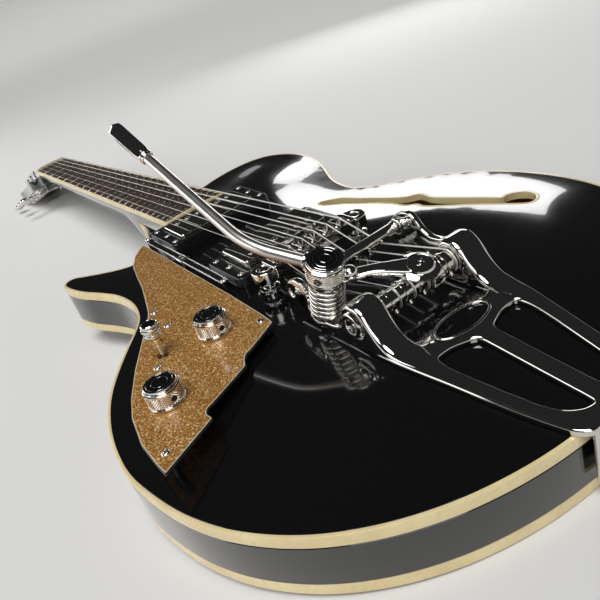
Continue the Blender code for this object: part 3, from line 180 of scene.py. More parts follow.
GUARD = (
    (163.2, 57.4), (16.6, 58.5), (-27, 59.7), (-39.5, 60.8), (-50.6, 83), (-52.4, 88.4),
    (-55.8, 91), (-61.6, 94.1), (-73.6, 122.8), (-74.6, 126.4), (-78, 128.6),
    (-83.6, 127.9), (-99.2, 163.6), (-90, 163.9), (-68.6, 163.2), (-43.1, 157.8),
    (-26.5, 151.1), (-2.1, 138), (23.6, 121.8), (45.8, 107.6), (54, 103.6), (62.6, 100.7),
    (76, 96.4), (92, 91.4), (115.3, 85.8), (134.2, 80.4), (149.5, 72.3), (159.3, 63.6),
)
HEAD = (
    (0.6, 21.8), (10, 22.2), (18, 25), (26, 31), (36, 34.4), (80, 33.6), (120, 34.2),
    (146, 36.6), (160, 34.5), (171, 26.5), (177.6, 14), (180, 0),
)
# Near half of the tailpiece plate, its front edge and then its side back to the tail.
PLATE_EDGE = (
    (-121.2, 2), (-122.2, 8), (-124.2, 15), (-126.2, 22), (-124, 27.4), (-113, 28.4),
    (-88, 28.8), (-78, 33), (-78, 43), (-112, 44.2), (-125, 44), (-140, 42), (-163, 37.4),
    (-185.5, 33.2), (-205, 29), (-217, 26.4), (-222.8, 22),
)
PLATE_WINDOW = (
    (-150, 30.2), (-141, 29.4), (-140.9, 19.3), (-146.6, 5.2), (-205, 5.2), (-212.8, 6),
    (-211.8, 12), (-207.4, 17.4), (-199.5, 21.4), (-178.6, 25.6), (-162, 28.6),
)
# Rows of x, inner y, outer y and top height of the ramp from hub to plate.
HUB_RAMP = (
    (-106.9, 27.7, 44.2, 24.8), (-108.6, 27.8, 44.2, 22.7), (-110.6, 27.9, 44.2, 19.6),
    (-113, 28.1, 44.1, 15.7), (-116, 28.2, 44, 11.8), (-120, 28, 43.8, 8.5),
    (-125, 27.6, 43.4, 6.2), (-131, 27.4, 42.6, 4.9), (-138, 29.5, 41.2, 4),
)


def turn(degrees, axis):
    return Matrix.Rotation(math.radians(degrees), 4, axis)


def put(x=0, y=0, z=0):
    return Matrix.Translation((x, y, z))


def aimed(direction, at=(0, 0, 0)):
    """Place whose local Z runs along a direction."""
    return put(*at) @ direction.to_track_quat("Z", "Y").to_matrix().to_4x4()


def axes(x, y, z, at=(0, 0, 0)):
    """Place whose own axes run along three directions."""
    out = Matrix((x, y, z)).transposed().to_4x4()
    out.translation = at
    return out


PLAN = Matrix.Identity(4)
UP = Vector((0, 0, 1))
SPIN_Y = turn(-90, "X")
STAND = Matrix(((1, 0, 0, 0), (0, 0, 1, 0), (0, 1, 0, 0), (0, 0, 0, 1)))
NECK = put(0, 0, BOARD_PLANE_Z) @ turn(SLOPE, "Y")
HEADFRAME = NECK @ put(NUT_X + 1.2, 0, -BOARD_THICK - 0.6) @ turn(HEAD_PITCH, "Y")
LEVER = put(*AXLE) @ turn(-LEVER_PITCH, "Y")


def world_place():
    """World matrix of the plan axes, read from the frame's own joints."""
    up = Vector(JOINTS["bridge_height"]["axis"]).normalized()
    side = Vector(JOINTS["tremolo_rock"]["axis"]).normalized()
    spin = axes(side.cross(up).normalized(), side, up)
    spin.translation = Vector(JOINTS["tremolo_rock"]["pos_m"]) - spin @ (Vector(AXLE) * MM)
    return spin


WORLD = world_place()


def spline(points, steps, closed=True):
    """Smooth run through points of any dimension."""
    pts = [np.array(p, float) for p in points]
    count = len(pts)
    out = []
    for i in range(count if closed else count - 1):
        p1, p2 = pts[i], pts[(i + 1) % count]
        p0 = pts[i - 1] if closed or i > 0 else 2 * p1 - p2
        p3 = pts[(i + 2) % count] if closed or i + 2 < count else 2 * p2 - p1
        far = norm(p2 - p1)
        m1 = (p2 - p0) / (norm(p1 - p0) + far) * far
        m2 = (p3 - p1) / (norm(p3 - p2) + far) * far
        for k in range(steps):
            t = k / steps
            out.append((2 * t ** 3 - 3 * t ** 2 + 1) * p1 + (t ** 3 - 2 * t ** 2 + t) * m1
                       + (3 * t ** 2 - 2 * t ** 3) * p2 + (t ** 3 - t ** 2) * m2)
    return out if closed else out + [pts[-1]]


def inset(loop, depth):
    """Closed anticlockwise run moved inward."""
    pts = np.array(loop, float)
    ahead = np.roll(pts, -1, 0) - pts
    ahead /= norm(ahead, axis=1)[:, None]
    mean = ahead + np.roll(ahead, 1, 0)
    mean /= norm(mean, axis=1)[:, None]
    scale = 1.0 / np.maximum(0.5, (mean * ahead).sum(1))
    normal = np.stack([-mean[:, 1], mean[:, 0]], 1)
    return list(pts + normal * (depth * scale)[:, None])


def leftward(loop):
    """The run in anticlockwise order."""
    pts = np.array(loop, float)
    nxt = np.roll(pts, -1, 0)
    area = (pts[:, 0] * nxt[:, 1] - nxt[:, 0] * pts[:, 1]).sum()
    return list(pts) if area > 0 else list(pts[::-1])


def clip(loop, axis, limit, side):
    """The part of a closed run on one side of a straight line."""
    out = []
    for i, a in enumerate(loop):
        b = loop[(i + 1) % len(loop)]
        da = (a[axis] - limit) * side
        db = (b[axis] - limit) * side
        if da >= 0:
            out.append(a)
        if da * db < 0:
            out.append(a + (b - a) * (da / (da - db)))
    return out


def polar(radius, angle, x=0.0, y=0.0):
    """Point of a circle at an angle in radians."""
    return x + radius * math.cos(angle), y + radius * math.sin(angle)


def ellipse(rx, ry, count, x=0, y=0):
    return [(x + rx * math.cos(TAU * k / count), y + ry * math.sin(TAU * k / count))
            for k in range(count)]


def circle(x, y, radius, count=48):
    return ellipse(radius, radius, count, x, y)


def box_loop(half_x, half_y, corner, x=0.0, y=0.0, steps=6):
    """Rectangle with round corners."""
    out = []
    for cx, cy, start in ((1, 1, 0), (-1, 1, 90), (-1, -1, 180), (1, -1, 270)):
        for k in range(steps + 1):
            a = math.radians(start + 90 * k / steps)
            out.append(np.array(polar(corner, a, x + cx * (half_x - corner),
                                      y + cy * (half_y - corner))))
    return out


def bend(a, corner, b, steps):
    """Curve from a to b that leans to a corner."""
    return [a * (1 - t) ** 2 + corner * 2 * t * (1 - t) + b * t * t
            for t in (k / steps for k in range(steps + 1))]


def softened(points, radius, steps=4):
    """Closed run with each corner rounded."""
    pts = [np.array(p, float) for p in points]
    out = []
    for i, p in enumerate(pts):
        a, b = pts[i - 1] - p, pts[(i + 1) % len(pts)] - p
        r = min(radius, norm(a) * 0.45, norm(b) * 0.45)
        out += bend(p + a / norm(a) * r, p, p + b / norm(b) * r, steps)
    return out


BODY_LOOP = leftward(spline(OUTLINE, 6, closed=False))
BODY_PTS = np.array(BODY_LOOP)
BODY_SEG = np.roll(BODY_PTS, -1, 0) - BODY_PTS
ARCH_CACHE = {}


def arch(x, y):
    """Height of the top surface."""
    key = (round(x, 3), round(y, 3))
    if key not in ARCH_CACHE:
        rel = np.array((x, y)) - BODY_PTS
        t = np.clip((rel * BODY_SEG).sum(1) / (BODY_SEG * BODY_SEG).sum(1), 0, 1)
        t = min(1.0, float(norm(rel - BODY_SEG * t[:, None], axis=1).min()) / ARCH_REACH)
        ARCH_CACHE[key] = TOP_EDGE_Z * (1 - t * t * (3 - 2 * t))
    return ARCH_CACHE[key]


def level(x, y):
    return 0.0


def inside(pts, loop):
    """Which points lie within a closed run."""
    arr = np.array(loop)
    nxt = np.roll(arr, -1, 0)
    x, y = pts[:, :1], pts[:, 1:]
    cross = (arr[:, 1] > y) != (nxt[:, 1] > y)
    at = (nxt[:, 0] - arr[:, 0]) * (y - arr[:, 1]) / (nxt[:, 1] - arr[:, 1] + 1e-12) + arr[:, 0]
    return (cross & (x < at)).sum(1) % 2 == 1


def within(pts, rings):
    """Which points lie inside the first run and outside the others."""
    keep = inside(pts, rings[0])
    for ring in rings[1:]:
        keep &= ~inside(pts, ring)
    return keep


def fill_points(rings, spacing):
    """Staggered grid that fills the runs, clear of their edges."""
    x0, y0 = np.min(rings[0], 0)
    x1, y1 = np.max(rings[0], 0)
    grid = np.array([(x, y) for r, y in enumerate(np.arange(y0, y1, spacing * 0.87))
                     for x in np.arange(x0 + (r % 2) * spacing / 2, x1, spacing)])
    grid = grid[within(grid, rings)]
    walls = np.concatenate(rings)
    near = np.array([norm(walls - g, axis=1).min() for g in grid])
    return [Vector((x, y)) for x, y in grid[near > spacing * 0.5]]


def skin(rings, closed=False):
    """Solid through rings of equal count, capped unless it closes on itself."""
    n = len(rings[0])
    faces = []
    for r in range(len(rings) if closed else len(rings) - 1):
        a, b = r * n, (r + 1) % len(rings) * n
        faces += [(a + k, a + (k + 1) % n, b + (k + 1) % n, b + k) for k in range(n)]
    if not closed:
        faces += [tuple(range(n))[::-1], tuple(range((len(rings) - 1) * n, len(rings) * n))]
    return [tuple(p) for ring in rings for p in ring], faces


def stack(levels, closed=False):
    """Solid through flat runs, each given with its height."""
    return skin([[(p[0], p[1], z) for p in loop] for loop, z in levels], closed)


def drawn(profile, half):
    """Side outline drawn out across the guitar, as far on both sides."""
    return skin([[(x, y, z) for x, z in profile] for y in (-half, half)])


def lathe(profile, count=64, ring=False):
    """Profile of radius and height turned about Z, closed on itself if ring."""
    verts, rows, faces = [], [], []
    for r, z in profile:
        around = ellipse(r, r, count if r > 1e-6 else 1)
        rows.append(range(len(verts), len(verts) + len(around)))
        verts += [(x, y, z) for x, y in around]
    for a, b in zip(rows, rows[1:] + rows[:1] if ring else rows[1:]):
        for k in range(count):
            j = (k + 1) % count
            if len(a) > 1 and len(b) > 1:
                faces.append((a[k], a[j], b[j], b[k]))
            elif len(b) > 1:
                faces.append((a[0], b[j], b[k]))
            elif len(a) > 1:
                faces.append((a[k], a[j], b[0]))
    return verts, faces


def offset(profile, out=0, up=0):
    """Profile moved out and up."""
    return [(r + out, z + up) for r, z in profile]


def tube(points, radius, sides):
    """Round bar along a run of points."""
    pts = [Vector(p) for p in points]
    rings = []
    up = None
    for i, p in enumerate(pts):
        before = (p - pts[i - 1] if i else pts[1] - p).normalized()
        after = (pts[i + 1] - p).normalized() if i < len(pts) - 1 else before
        along = (before + after).normalized()
        up = up or along.orthogonal().normalized()
        up = (up - along * up.dot(along)).normalized()
        side = along.cross(up)
        rings.append([p + (up * u + side * v) * radius for u, v in ellipse(1, 1, sides)])
    return skin(rings)


def slab(outer, holes, low, high, edge, under=0, lift=level, spacing=None, steps=3):
    """Plate with rounded edges and holes, laid on the surface that lift gives."""
    quarter = [math.pi / 2 * k / steps for k in range(steps + 1)]
    tiers = [(under * (1 - math.sin(a)), low + under * (1 - math.cos(a)))
             for a in quarter] if under else [(0, low)]
    tiers += [(edge * (1 - math.cos(a)), high - edge * (1 - math.sin(a))) for a in quarter]
    verts, faces, bottom, top = [], [], [], []
    for loop in [leftward(outer)] + [leftward(h)[::-1] for h in holes]:
        rows = []
        n = len(loop)
        for depth, z in tiers:
            rows.append(range(len(verts), len(verts) + n))
            verts += [(x, y, z + lift(x, y)) for x, y in (inset(loop, depth) if depth else loop)]
        for a, b in zip(rows, rows[1:]):
            faces += [(a[k], a[(k + 1) % n], b[(k + 1) % n], b[k]) for k in range(n)]
        bottom.append(rows[0])
        top.append(rows[-1])
    for groups, z, way in ((bottom, low, -1), (top, tiers[-1][1], 1)):
        index = [i for g in groups for i in g]
        rings = [[np.array(verts[i][:2]) for i in g] for g in groups]
        edges = []
        for g in groups:
            base = len(edges)
            edges += [(base + k, base + (k + 1) % len(g)) for k in range(len(g))]
        flat = [Vector(verts[i][:2]) for i in index]
        flat += fill_points(rings, spacing) if spacing else []
        pts, _, tris, origin, _, _ = delaunay_2d_cdt(flat, edges, [], 0, 1e-7)
        centres = np.array([[sum(pts[i][c] for i in t) / 3 for c in (0, 1)] for t in tris])
        ids = []
        for p, source in zip(pts, origin):
            known = [s for s in source if s < len(index)]
            ids.append(index[known[0]] if known else len(verts))
            if not known:
                verts.append((p.x, p.y, z + lift(p.x, p.y)))
        faces += [tuple(ids[i] for i in t)[::way]
                  for t, ok in zip(tris, within(centres, rings)) if ok]
    return verts, faces


def moved(solid, matrix):
    return [tuple(matrix @ Vector(v)) for v in solid[0]], solid[1]


def shifted(solid, x=0, y=0, z=0):
    return moved(solid, put(x, y, z))


def many(solids):
    """Several solids as one mesh."""
    verts, faces = [], []
    for v, f in solids:
        base = len(verts)
        verts += v
        faces += [tuple(base + k for k in face) for face in f]
    return verts, faces


class Look:
    """Material whose colour, roughness and relief may follow noise.

    rough, tint and bump each begin with the noise that they follow, as scale,
    detail, roughness and stretch. Then come the range, the stops of the ramp, or
    the strength and distance. Other names are inputs of the shader.
    """

    def __init__(self, name, colour, metallic=0, roughness=0.4, rough=None, tint=None,
                 bump=None, **more):
        self.mat = bpy.data.materials.new(name)
        self.mat.use_nodes = True
        self.link = self.mat.node_tree.links.new
        self.shader = self.mat.node_tree.nodes["Principled BSDF"].inputs
        more.update(base_color=(*colour, 1), metallic=metallic, roughness=roughness)
        for key, value in more.items():
            self.shader[key.replace("_", " ").title()].default_value = value
        for use, given in ((self.rough, rough), (self.tint, tint), (self.bump, bump)):
            if given:
                use(self.noise(*given[0]), *given[1:])

    def node(self, kind, **values):
        made = self.mat.node_tree.nodes.new("ShaderNode" + kind)
        for key, value in values.items():
            made.inputs[key.replace("_", " ").title()].default_value = value
        return made

    def textured(self, kind, stretch=(1, 1, 1), **values):
        """Texture node on the object's own coordinates."""
        mapping = self.node("Mapping", scale=stretch)
        self.link(self.node("TexCoord").outputs["Object"], mapping.inputs["Vector"])
        made = self.node(kind, **values)
        self.link(mapping.outputs["Vector"], made.inputs["Vector"])
        return made

    def noise(self, scale, detail=3, roughness=0.5, stretch=(1, 1, 1)):
        return self.textured("TexNoise", stretch, scale=scale, detail=detail,
                             roughness=roughness).outputs["Fac"]

    def ramp(self, fac, *stops):
        made = self.node("ValToRGB")
        elements = made.color_ramp.elements
        while len(elements) < len(stops):
            elements.new(0.5)
        for element, (at, colour) in zip(elements, stops):
            element.position = at
            element.color = (*colour, 1)
        self.link(fac, made.inputs["Fac"])
        return made.outputs["Color"]

    def tint(self, fac, *stops):
        self.link(self.ramp(fac, *stops), self.shader["Base Color"])

    def rough(self, fac, low, high):
        made = self.node("MapRange", to_min=low, to_max=high)
        self.link(fac, made.inputs["Value"])
        self.link(made.outputs["Result"], self.shader["Roughness"])

    def bump(self, height, strength, distance):
        made = self.node("Bump", strength=strength, distance=distance)
        self.link(height, made.inputs["Height"])
        self.link(made.outputs["Normal"], self.shader["Normal"])


def chrome(name, colour, low, high):
    """Plated metal with light handling marks."""
    warm = tuple(c * k for c, k in zip(colour, (1, 0.97, 0.9)))
    return Look(name, colour, 1, rough=((90, 5, 0.65), low, high),
                tint=((22, 2), (0.3, colour), (0.75, warm)))


def cream(name, light, dark):
    """Aged cream plastic."""
    return Look(name, light, rough=((160,), 0.22, 0.36), bump=((600, 2), 0.05, 0.00004),
                tint=((30, 5, 0.6), (0.3, dark), (0.6, light)), coat_weight=0.5,
                coat_roughness=0.08, subsurface_weight=0.08,
                subsurface_radius=(0.002, 0.0014, 0.0008), subsurface_scale=1)


def black_plastic(name, shade, low, high):
    return Look(name, shade, rough=((70, 4), low, high), bump=((1400, 2), 0.06, 0.00004))


def sparkle(name):
    """Gold flake in clear plastic, each flake tilted and toned by its own cell, with a few fine
    cells painted pale as glints.
    """
    look = Look(name, (0.55, 0.30, 0.08), 0.3, coat_weight=0.8, coat_roughness=0.05)
    flakes = look.textured("TexVoronoi", scale=1350).outputs["Color"]
    painted_glint_cells = look.textured("TexVoronoi", scale=3200).outputs["Color"]
    flake, painted_glint_split = look.node("SeparateColor"), look.node("SeparateColor")
    look.link(flakes, flake.inputs["Color"])
    look.link(painted_glint_cells, painted_glint_split.inputs["Color"])
    body = look.ramp(flake.outputs["Red"], (0, (0.24, 0.085, 0.010)),
                     (0.45, (0.42, 0.18, 0.030)), (0.86, (0.58, 0.28, 0.06)),
                     (0.96, (1, 0.74, 0.36)))
    # Painted glints: a few fine cells are painted pale gold over the flake colour, as sparkle.
    mix = look.node("Mix")
    mix.data_type = "RGBA"
    look.link(look.ramp(painted_glint_split.outputs["Green"], (0.93, (0, 0, 0)), (0.97, (1, 1, 1))),
              mix.inputs["Factor"])
    look.link(body, mix.inputs["A"])
    mix.inputs["B"].default_value = (1, 0.86, 0.52, 1)
    look.link(mix.outputs["Result"], look.shader["Base Color"])
    look.rough(flake.outputs["Blue"], 0.18, 0.55)
    shift = look.node("VectorMath")
    shift.operation = "MULTIPLY_ADD"
    shift.inputs[1].default_value = (2, 2, 2)
    shift.inputs[2].default_value = (-1, -1, -1)
    look.link(flakes, shift.inputs[0])
    tilt = look.node("Mix", factor=0.12)
    tilt.data_type = "VECTOR"
    look.link(look.node("NewGeometry").outputs["Normal"], tilt.inputs["A"])
    look.link(shift.outputs["Vector"], tilt.inputs["B"])
    unit = look.node("VectorMath")
    unit.operation = "NORMALIZE"
    look.link(tilt.outputs["Result"], unit.inputs[0])
    look.link(unit.outputs["Vector"], look.shader["Normal"])
    return look


def wire(name, pitch=None):
    """String wire, plain or closely wound."""
    look = Look(name, (0.90, 0.88, 0.84), 1, rough=((200,), 0.26, 0.44))
    if pitch:
        wave = look.textured("TexWave", scale=1 / pitch / 20 * math.pi)
        look.bump(wave.outputs["Fac"], 0.7, 0.00008)
    return look


ROSEWOOD = ((0.014, 0.007, 0.005), (0.055, 0.026, 0.016))
ROSEWOOD_GRAIN = (2.4, 8, 0.62, (9, 120, 120))
PLY_GRAIN = (2, 6, 0.6, (8, 90, 90))
LOOKS = {
    "lacquer": Look("black_lacquer", (0.004, 0.004, 0.0045), rough=((14, 4, 0.6), 0.07, 0.16),
                    bump=((260, 2), 0.02, 0.00003), coat_weight=1, coat_roughness=0.02),
    "cream": cream("cream_binding", (0.80, 0.67, 0.38), (0.68, 0.53, 0.27)),
    "gold": sparkle("gold_flake"),
    "ply": cream("pale_ply", (0.78, 0.68, 0.50), (0.62, 0.52, 0.36)),
    "chrome": chrome("chrome_plate", (0.74, 0.735, 0.72), 0.035, 0.09),
    "satin": chrome("worn_plate", (0.72, 0.705, 0.69), 0.24, 0.36),
    "inset": Look("black_enamel", (0.003, 0.003, 0.0035), rough=((120, 4), 0.05, 0.14),
                  coat_weight=1, coat_roughness=0.015),
    "board": Look("board_wood", ROSEWOOD[0], rough=(ROSEWOOD_GRAIN, 0.38, 0.62),
                  tint=(ROSEWOOD_GRAIN, (0.34, ROSEWOOD[0]), (0.52, ROSEWOOD[1]),
                        (0.7, ROSEWOOD[0])),
                  bump=((1, 3, 0.7, (60, 1500, 1500)), 0.5, 0.0001)),
    "inner": Look("bare_ply", (0.36, 0.20, 0.10), 0, 0.7, bump=(PLY_GRAIN, 0.3, 0.0002),
                  tint=(PLY_GRAIN, (0.3, (0.24, 0.12, 0.055)), (0.6, (0.42, 0.25, 0.13)))),
    "plastic": black_plastic("ring_plastic", (0.012, 0.012, 0.013), 0.14, 0.28),
    "bone": Look("nut_bone", (0.74, 0.69, 0.56),
                 tint=((3, 4, 0.5, (40, 400, 40)), (0.3, (0.66, 0.60, 0.45)),
                       (0.6, (0.80, 0.75, 0.62))),
                 subsurface_weight=0.1, subsurface_radius=(0.002, 0.0016, 0.001),
                 subsurface_scale=1),
    "plain": wire("plain_wire"),
    "wound": wire("wound_wire", 0.00045),
    "fret": chrome("fret_wire", (0.62, 0.61, 0.58), 0.14, 0.3),
    # Paler copy of the plating for the knurled bands: the rougher finish is real, the paler
    # colour is painted sheen.
    "knurl_sheen": chrome("knurl_plating_painted_sheen", (0.84, 0.80, 0.74), 0.16, 0.28),
    # Matte near-black for painted shade: the screw side holes and the recessed, slotted tops of
    # the bridge studs.
    "dark": black_plastic("painted_recess_shade", (0.004, 0.004, 0.004), 0.4, 0.6),
}


def placed(name, data, matrix=PLAN):
    """New object, linked into the scene."""
    obj = bpy.data.objects.new(name, data)
    bpy.context.scene.collection.objects.link(obj)
    obj.matrix_world = matrix
    return obj


def piece(name, solid, look="chrome", body="guitar", at=PLAN, node=None, angle=35, bevel=0,
          segments=2, second=None):
    """Mesh of its own on a body, given in millimetres in the axes of its place.

    second is another look and the test, of a face's centre in millimetres and its
    normal, that says which faces take it.
    """
    mesh = bpy.data.meshes.new(name)
    mesh.from_pydata([tuple(c * MM for c in v) for v in solid[0]], [], solid[1])
    work = bmesh.new()
    work.from_mesh(mesh)
    bmesh.ops.recalc_face_normals(work, faces=work.faces)
    work.to_mesh(mesh)
    work.free()
    place = at.copy()
    place.translation = at.translation * MM
    obj = placed(name, mesh, WORLD @ place)
    mesh.materials.append(LOOKS[look].mat)
    mesh.shade_smooth()
    mesh.set_sharp_from_angle(angle=math.radians(angle))
    if second:
        mesh.materials.append(LOOKS[second[0]].mat)
        for face in mesh.polygons:
            face.material_index = int(second[1](face.center / MM, face.normal))
    if bevel:
        eased = obj.modifiers.new("edges", "BEVEL")
        eased.width = bevel * MM
        eased.segments = segments
        eased.limit_method = "ANGLE"
        eased.angle_limit = math.radians(32)
    bpy.context.view_layer.update()
    if body:
        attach(obj, body)
    if node:
        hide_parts(node)
    return obj


def band(outer, inner, low, high, edge, closed=True, lift=level):
    """Binding strip with eased corners."""
    rings = []
    for o, q in zip(outer, inner):
        unit = (q - o) / norm(q - o)
        zl, zh = lift(*o) + low, lift(*o) + high
        ring = [(q, zl), (o + unit * edge, zl), (o, zl + edge), (o, zh - edge),
                (o + unit * edge * 0.3, zh - edge * 0.3), (o + unit * edge, zh), (q, zh)]
        rings.append([(p[0], p[1], z) for p, z in ring])
    return skin(rings, closed)


def build_body():
    inner = inset(BODY_LOOP, BIND_THICK)
    seam = inset(BODY_LOOP, BIND_THICK + 0.12)
    half = POCKET_HALF
    outer = ([(seam[0][0], half)] + seam[1:-1]
             + [(seam[-1][0], -half), (POCKET_END, -half), (POCKET_END, half)])
    hole = leftward(spline(F_HOLE, 4))
    piece("top_plate", slab(outer, [inset(hole, -BIND_THICK - 0.1)], -TOP_THICK, 0, 0.15,
                            lift=arch, spacing=8, steps=1),
          "lacquer", node="body_top", second=("inner", lambda c, n: n.z < -0.5))
    piece("hole_binding", band(inset(hole, -BIND_THICK), hole, -TOP_THICK, 0.12, 0.3,
                               lift=arch), "cream", node="f_hole_binding")
    lip, sill = TOP_EDGE_Z - BIND_HIGH, BACK_Z + BIND_HIGH
    piece("binding_top", band(BODY_LOOP, inner, lip, TOP_EDGE_Z, 0.45, closed=False), "cream",
          node="top_binding")
    piece("binding_back", band(BODY_LOOP, inner, BACK_Z, sill, 0.45), "cream",
          node="back_binding")
    rebate, shy = inset(BODY_LOOP, BIND_THICK + 0.05), inset(BODY_LOOP, 0.25)
    deep = inset(BODY_LOOP, RIM_THICK)
    rest = TOP_EDGE_Z - TOP_THICK - 0.1
    shell = stack(((rebate, BACK_Z), (rebate, sill + 0.05), (shy, sill + 0.05),
                   (BODY_LOOP, sill + 0.3), (BODY_LOOP, lip - 0.3), (shy, lip - 0.05),
                   (rebate, lip - 0.05), (rebate, rest), (deep, rest),
                   (deep, BACK_INSIDE_Z)))
    piece("rim_and_back", shell, "lacquer", node="body_shell", second=(
        "inner", lambda c, n: BACK_INSIDE_Z - 0.5 < c.z < TOP_EDGE_Z - 4
        and norm(BODY_PTS - (c.x, c.y), axis=1).min() > 4))
    block = inset(clip(clip(deep, 1, BLOCK_HALF, -1), 1, -BLOCK_HALF, 1), 0.3)
    piece("centre_block", stack([(block, z) for z in (BACK_INSIDE_Z + 0.1, BLOCK_TOP_Z)]),
          "inner")


def board_half(x):
    t = (x - BOARD_END) / (NUT_X - BOARD_END)
    return BOARD_HALF[0] + (BOARD_HALF[1] - BOARD_HALF[0]) * t


def neck_section(x, half, deep, flat, count=40):
    """Ring across the neck: flat top, back of a squared ellipse."""
    top = -BOARD_THICK - 0.05
    ring = [(x, half, top)]
    for k in range(count + 1):
        c, s = math.cos(math.pi * k / count), math.sin(math.pi * k / count)
        ring.append((x, half * math.copysign(abs(c) ** flat, c),
                     top - 1.2 - (deep - 1.2) * abs(s) ** flat))
    return ring + [(x, -half, top)]


def build_neck():
    start = HEEL_X + (HEEL_DEEP + 8) * math.tan(math.radians(SLOPE))
    keys = [(start, 27.8, HEEL_DEEP, 0.45), (start + 8, 27.6, HEEL_DEEP - 1.5, 0.5),
            (start + 20, 27.2, HEEL_DEEP - 10, 0.62), (start + 34, 26.6, 26, 0.8),
            (start + 52, 26.2, 19, 0.95)]
    keys += [(x, board_half(x), deep, flat) for x, deep, flat in (
        (380, 18, 1), (500, 17, 1), (610, 16, 1), (638, 16, 1), (NUT_X + 7, 15.2, 0.95))]
    piece("neck_shaft", skin([neck_section(*row) for row in spline(keys, 4, closed=False)]),
          "lacquer", at=NECK, node="neck")
    a, b = [NECK @ Vector((x, 0, -BOARD_THICK - 0.05)) for x in (BOARD_END + 1, TONGUE_END)]
    piece("neck_tongue", drawn([(a.x, 0.2), (POCKET_END, 0.2), (POCKET_END, POCKET_Z),
                                (TONGUE_END, POCKET_Z), (b.x, b.z), (a.x, a.z)], 27.9),
          "lacquer", bevel=0.3)
    half = spline(HEAD, 5, closed=False)
    loop = half + [(p[0], -p[1]) for p in half[-2::-1]]
    holes = [circle(x, s * POST_Y, POST_R + 1.5, 28) for x in POST_X for s in (1, -1)]
    piece("head_plate", slab(loop, holes, -HEAD_THICK, 0, 1.2, under=1.2), "lacquer",
          at=HEADFRAME, angle=40)


def crown(y):
    """Drop of the board's round top at a distance from its middle."""
    return y * y / (2 * BOARD_RADIUS)


def board_ring(x, count=17):
    half = board_half(x) - BOARD_BIND - 0.05
    across = [half * (1 - 2 * k / (count - 1)) for k in range(count)]
    return [(x, half, -BOARD_THICK)] + [(x, y, -crown(y)) for y in across] + [
        (x, -half, -BOARD_THICK)]


def fret_wire(x):
    half = board_half(x) - 0.5
    rows = []
    for t in np.linspace(0, 1, 15):
        y = half * (1 - 2 * t)
        edge = min(1.0, (half - abs(y)) / 0.8 + 0.35)
        rows.append([(x + 1.3 * math.cos(a), y, -crown(y) - 0.15 + 1.2 * edge * math.sin(a))
                     for a in np.linspace(math.pi, 0, 9)] + [(x, y, -crown(y) - 0.9)])
    return skin(rows)


def divided(loop, parts):
    """Closed run with each side cut into as many parts as a rule gives."""
    out = []
    for p, q in zip(loop, loop[1:] + loop[:1]):
        p, q = np.array(p), np.array(q)
        count = parts(*abs(q - p))
        out += [p + (q - p) * k / count for k in range(count)]
    return out


def build_board():
    rings = [board_ring(x) for x in np.linspace(BOARD_END + 3, NUT_X - 0.1, 30)]
    piece("board", skin(rings), "board", at=NECK, node="fretboard", angle=25)
    piece("frets", many([fret_wire(SCALE * 2 ** (-k / 12) + NUT_X - SCALE)
                         for k in range(1, FRETS + 1)]), "fret", at=NECK, angle=50)
    x0, x1 = BOARD_END, NUT_X - 0.1
    end = x0 + 2.95
    side = [(x0, BOARD_HALF[0]), (x1, BOARD_HALF[1]), (x1, BOARD_HALF[1] - BOARD_BIND),
            (end, board_half(end) - BOARD_BIND)]
    loop = divided([(x, -y) for x, y in side] + side[::-1],
                   lambda dx, dy: 24 if dx > 100 else 12 if dy > 20 else 1)
    edging = piece("board_edging", slab(loop, [], -BOARD_THICK, 0.03, 0.25), "cream", at=NECK,
                   node="fretboard_binding")
    for v in edging.data.vertices:
        if v.co.z > -3 * MM:
            v.co.z -= crown(v.co.y / MM) * MM


def string_spots():
    """Each string's index, its place from -1 to 1 and its radius."""
    return [(k, (k - 2.5) / 2.5, r) for k, r in enumerate(STRING_R)]


def build_nut():
    top = []
    for _, t, r in string_spots():
        y = t * NUT_HALF
        low = STRING_LIFT - crown(y) - r - 0.12
        wide = r + 0.12
        high = STRING_LIFT - crown(y) + r * 0.6 + 0.35
        top += [(y - wide - 0.25, high), (y - wide, high - 0.3)]
        top += [(y - wide * math.cos(a), low + r - r * math.sin(a))
                for a in np.linspace(0, math.pi, 7)]
        top += [(y + wide, high - 0.3), (y + wide + 0.25, high)]
    end = BOARD_HALF[1]
    profile = ([(-end, -BOARD_THICK), (-end, 0.6), (-end + 0.6, 1.3)] + top
               + [(end - 0.6, 1.3), (end, 0.6), (end, -BOARD_THICK)])
    piece("nut_piece", skin([[(x, y, z) for y, z in profile]
                             for x in (NUT_X, NUT_X + NUT_LONG)]),
          "bone", at=NECK, node="nut", bevel=0.2)


def dome_screw(radius, tall):
    """Domed head with a sunk cross."""
    shares = ((1, 0), (1, 0.3), (0.92, 0.62), (0.72, 0.88), (0.5, 1), (0.34, 1), (0.18, 1))
    rows = []
    for r, z in [(radius * r, tall * z) for r, z in shares] + [(0.02, tall)]:
        rows.append([(x, y, z - tall * 0.45 if r < radius * 0.56
                      and min(abs(x), abs(y)) < radius * 0.1 else z)
                     for x, y in ellipse(r, r, 32)])
    return skin(rows)


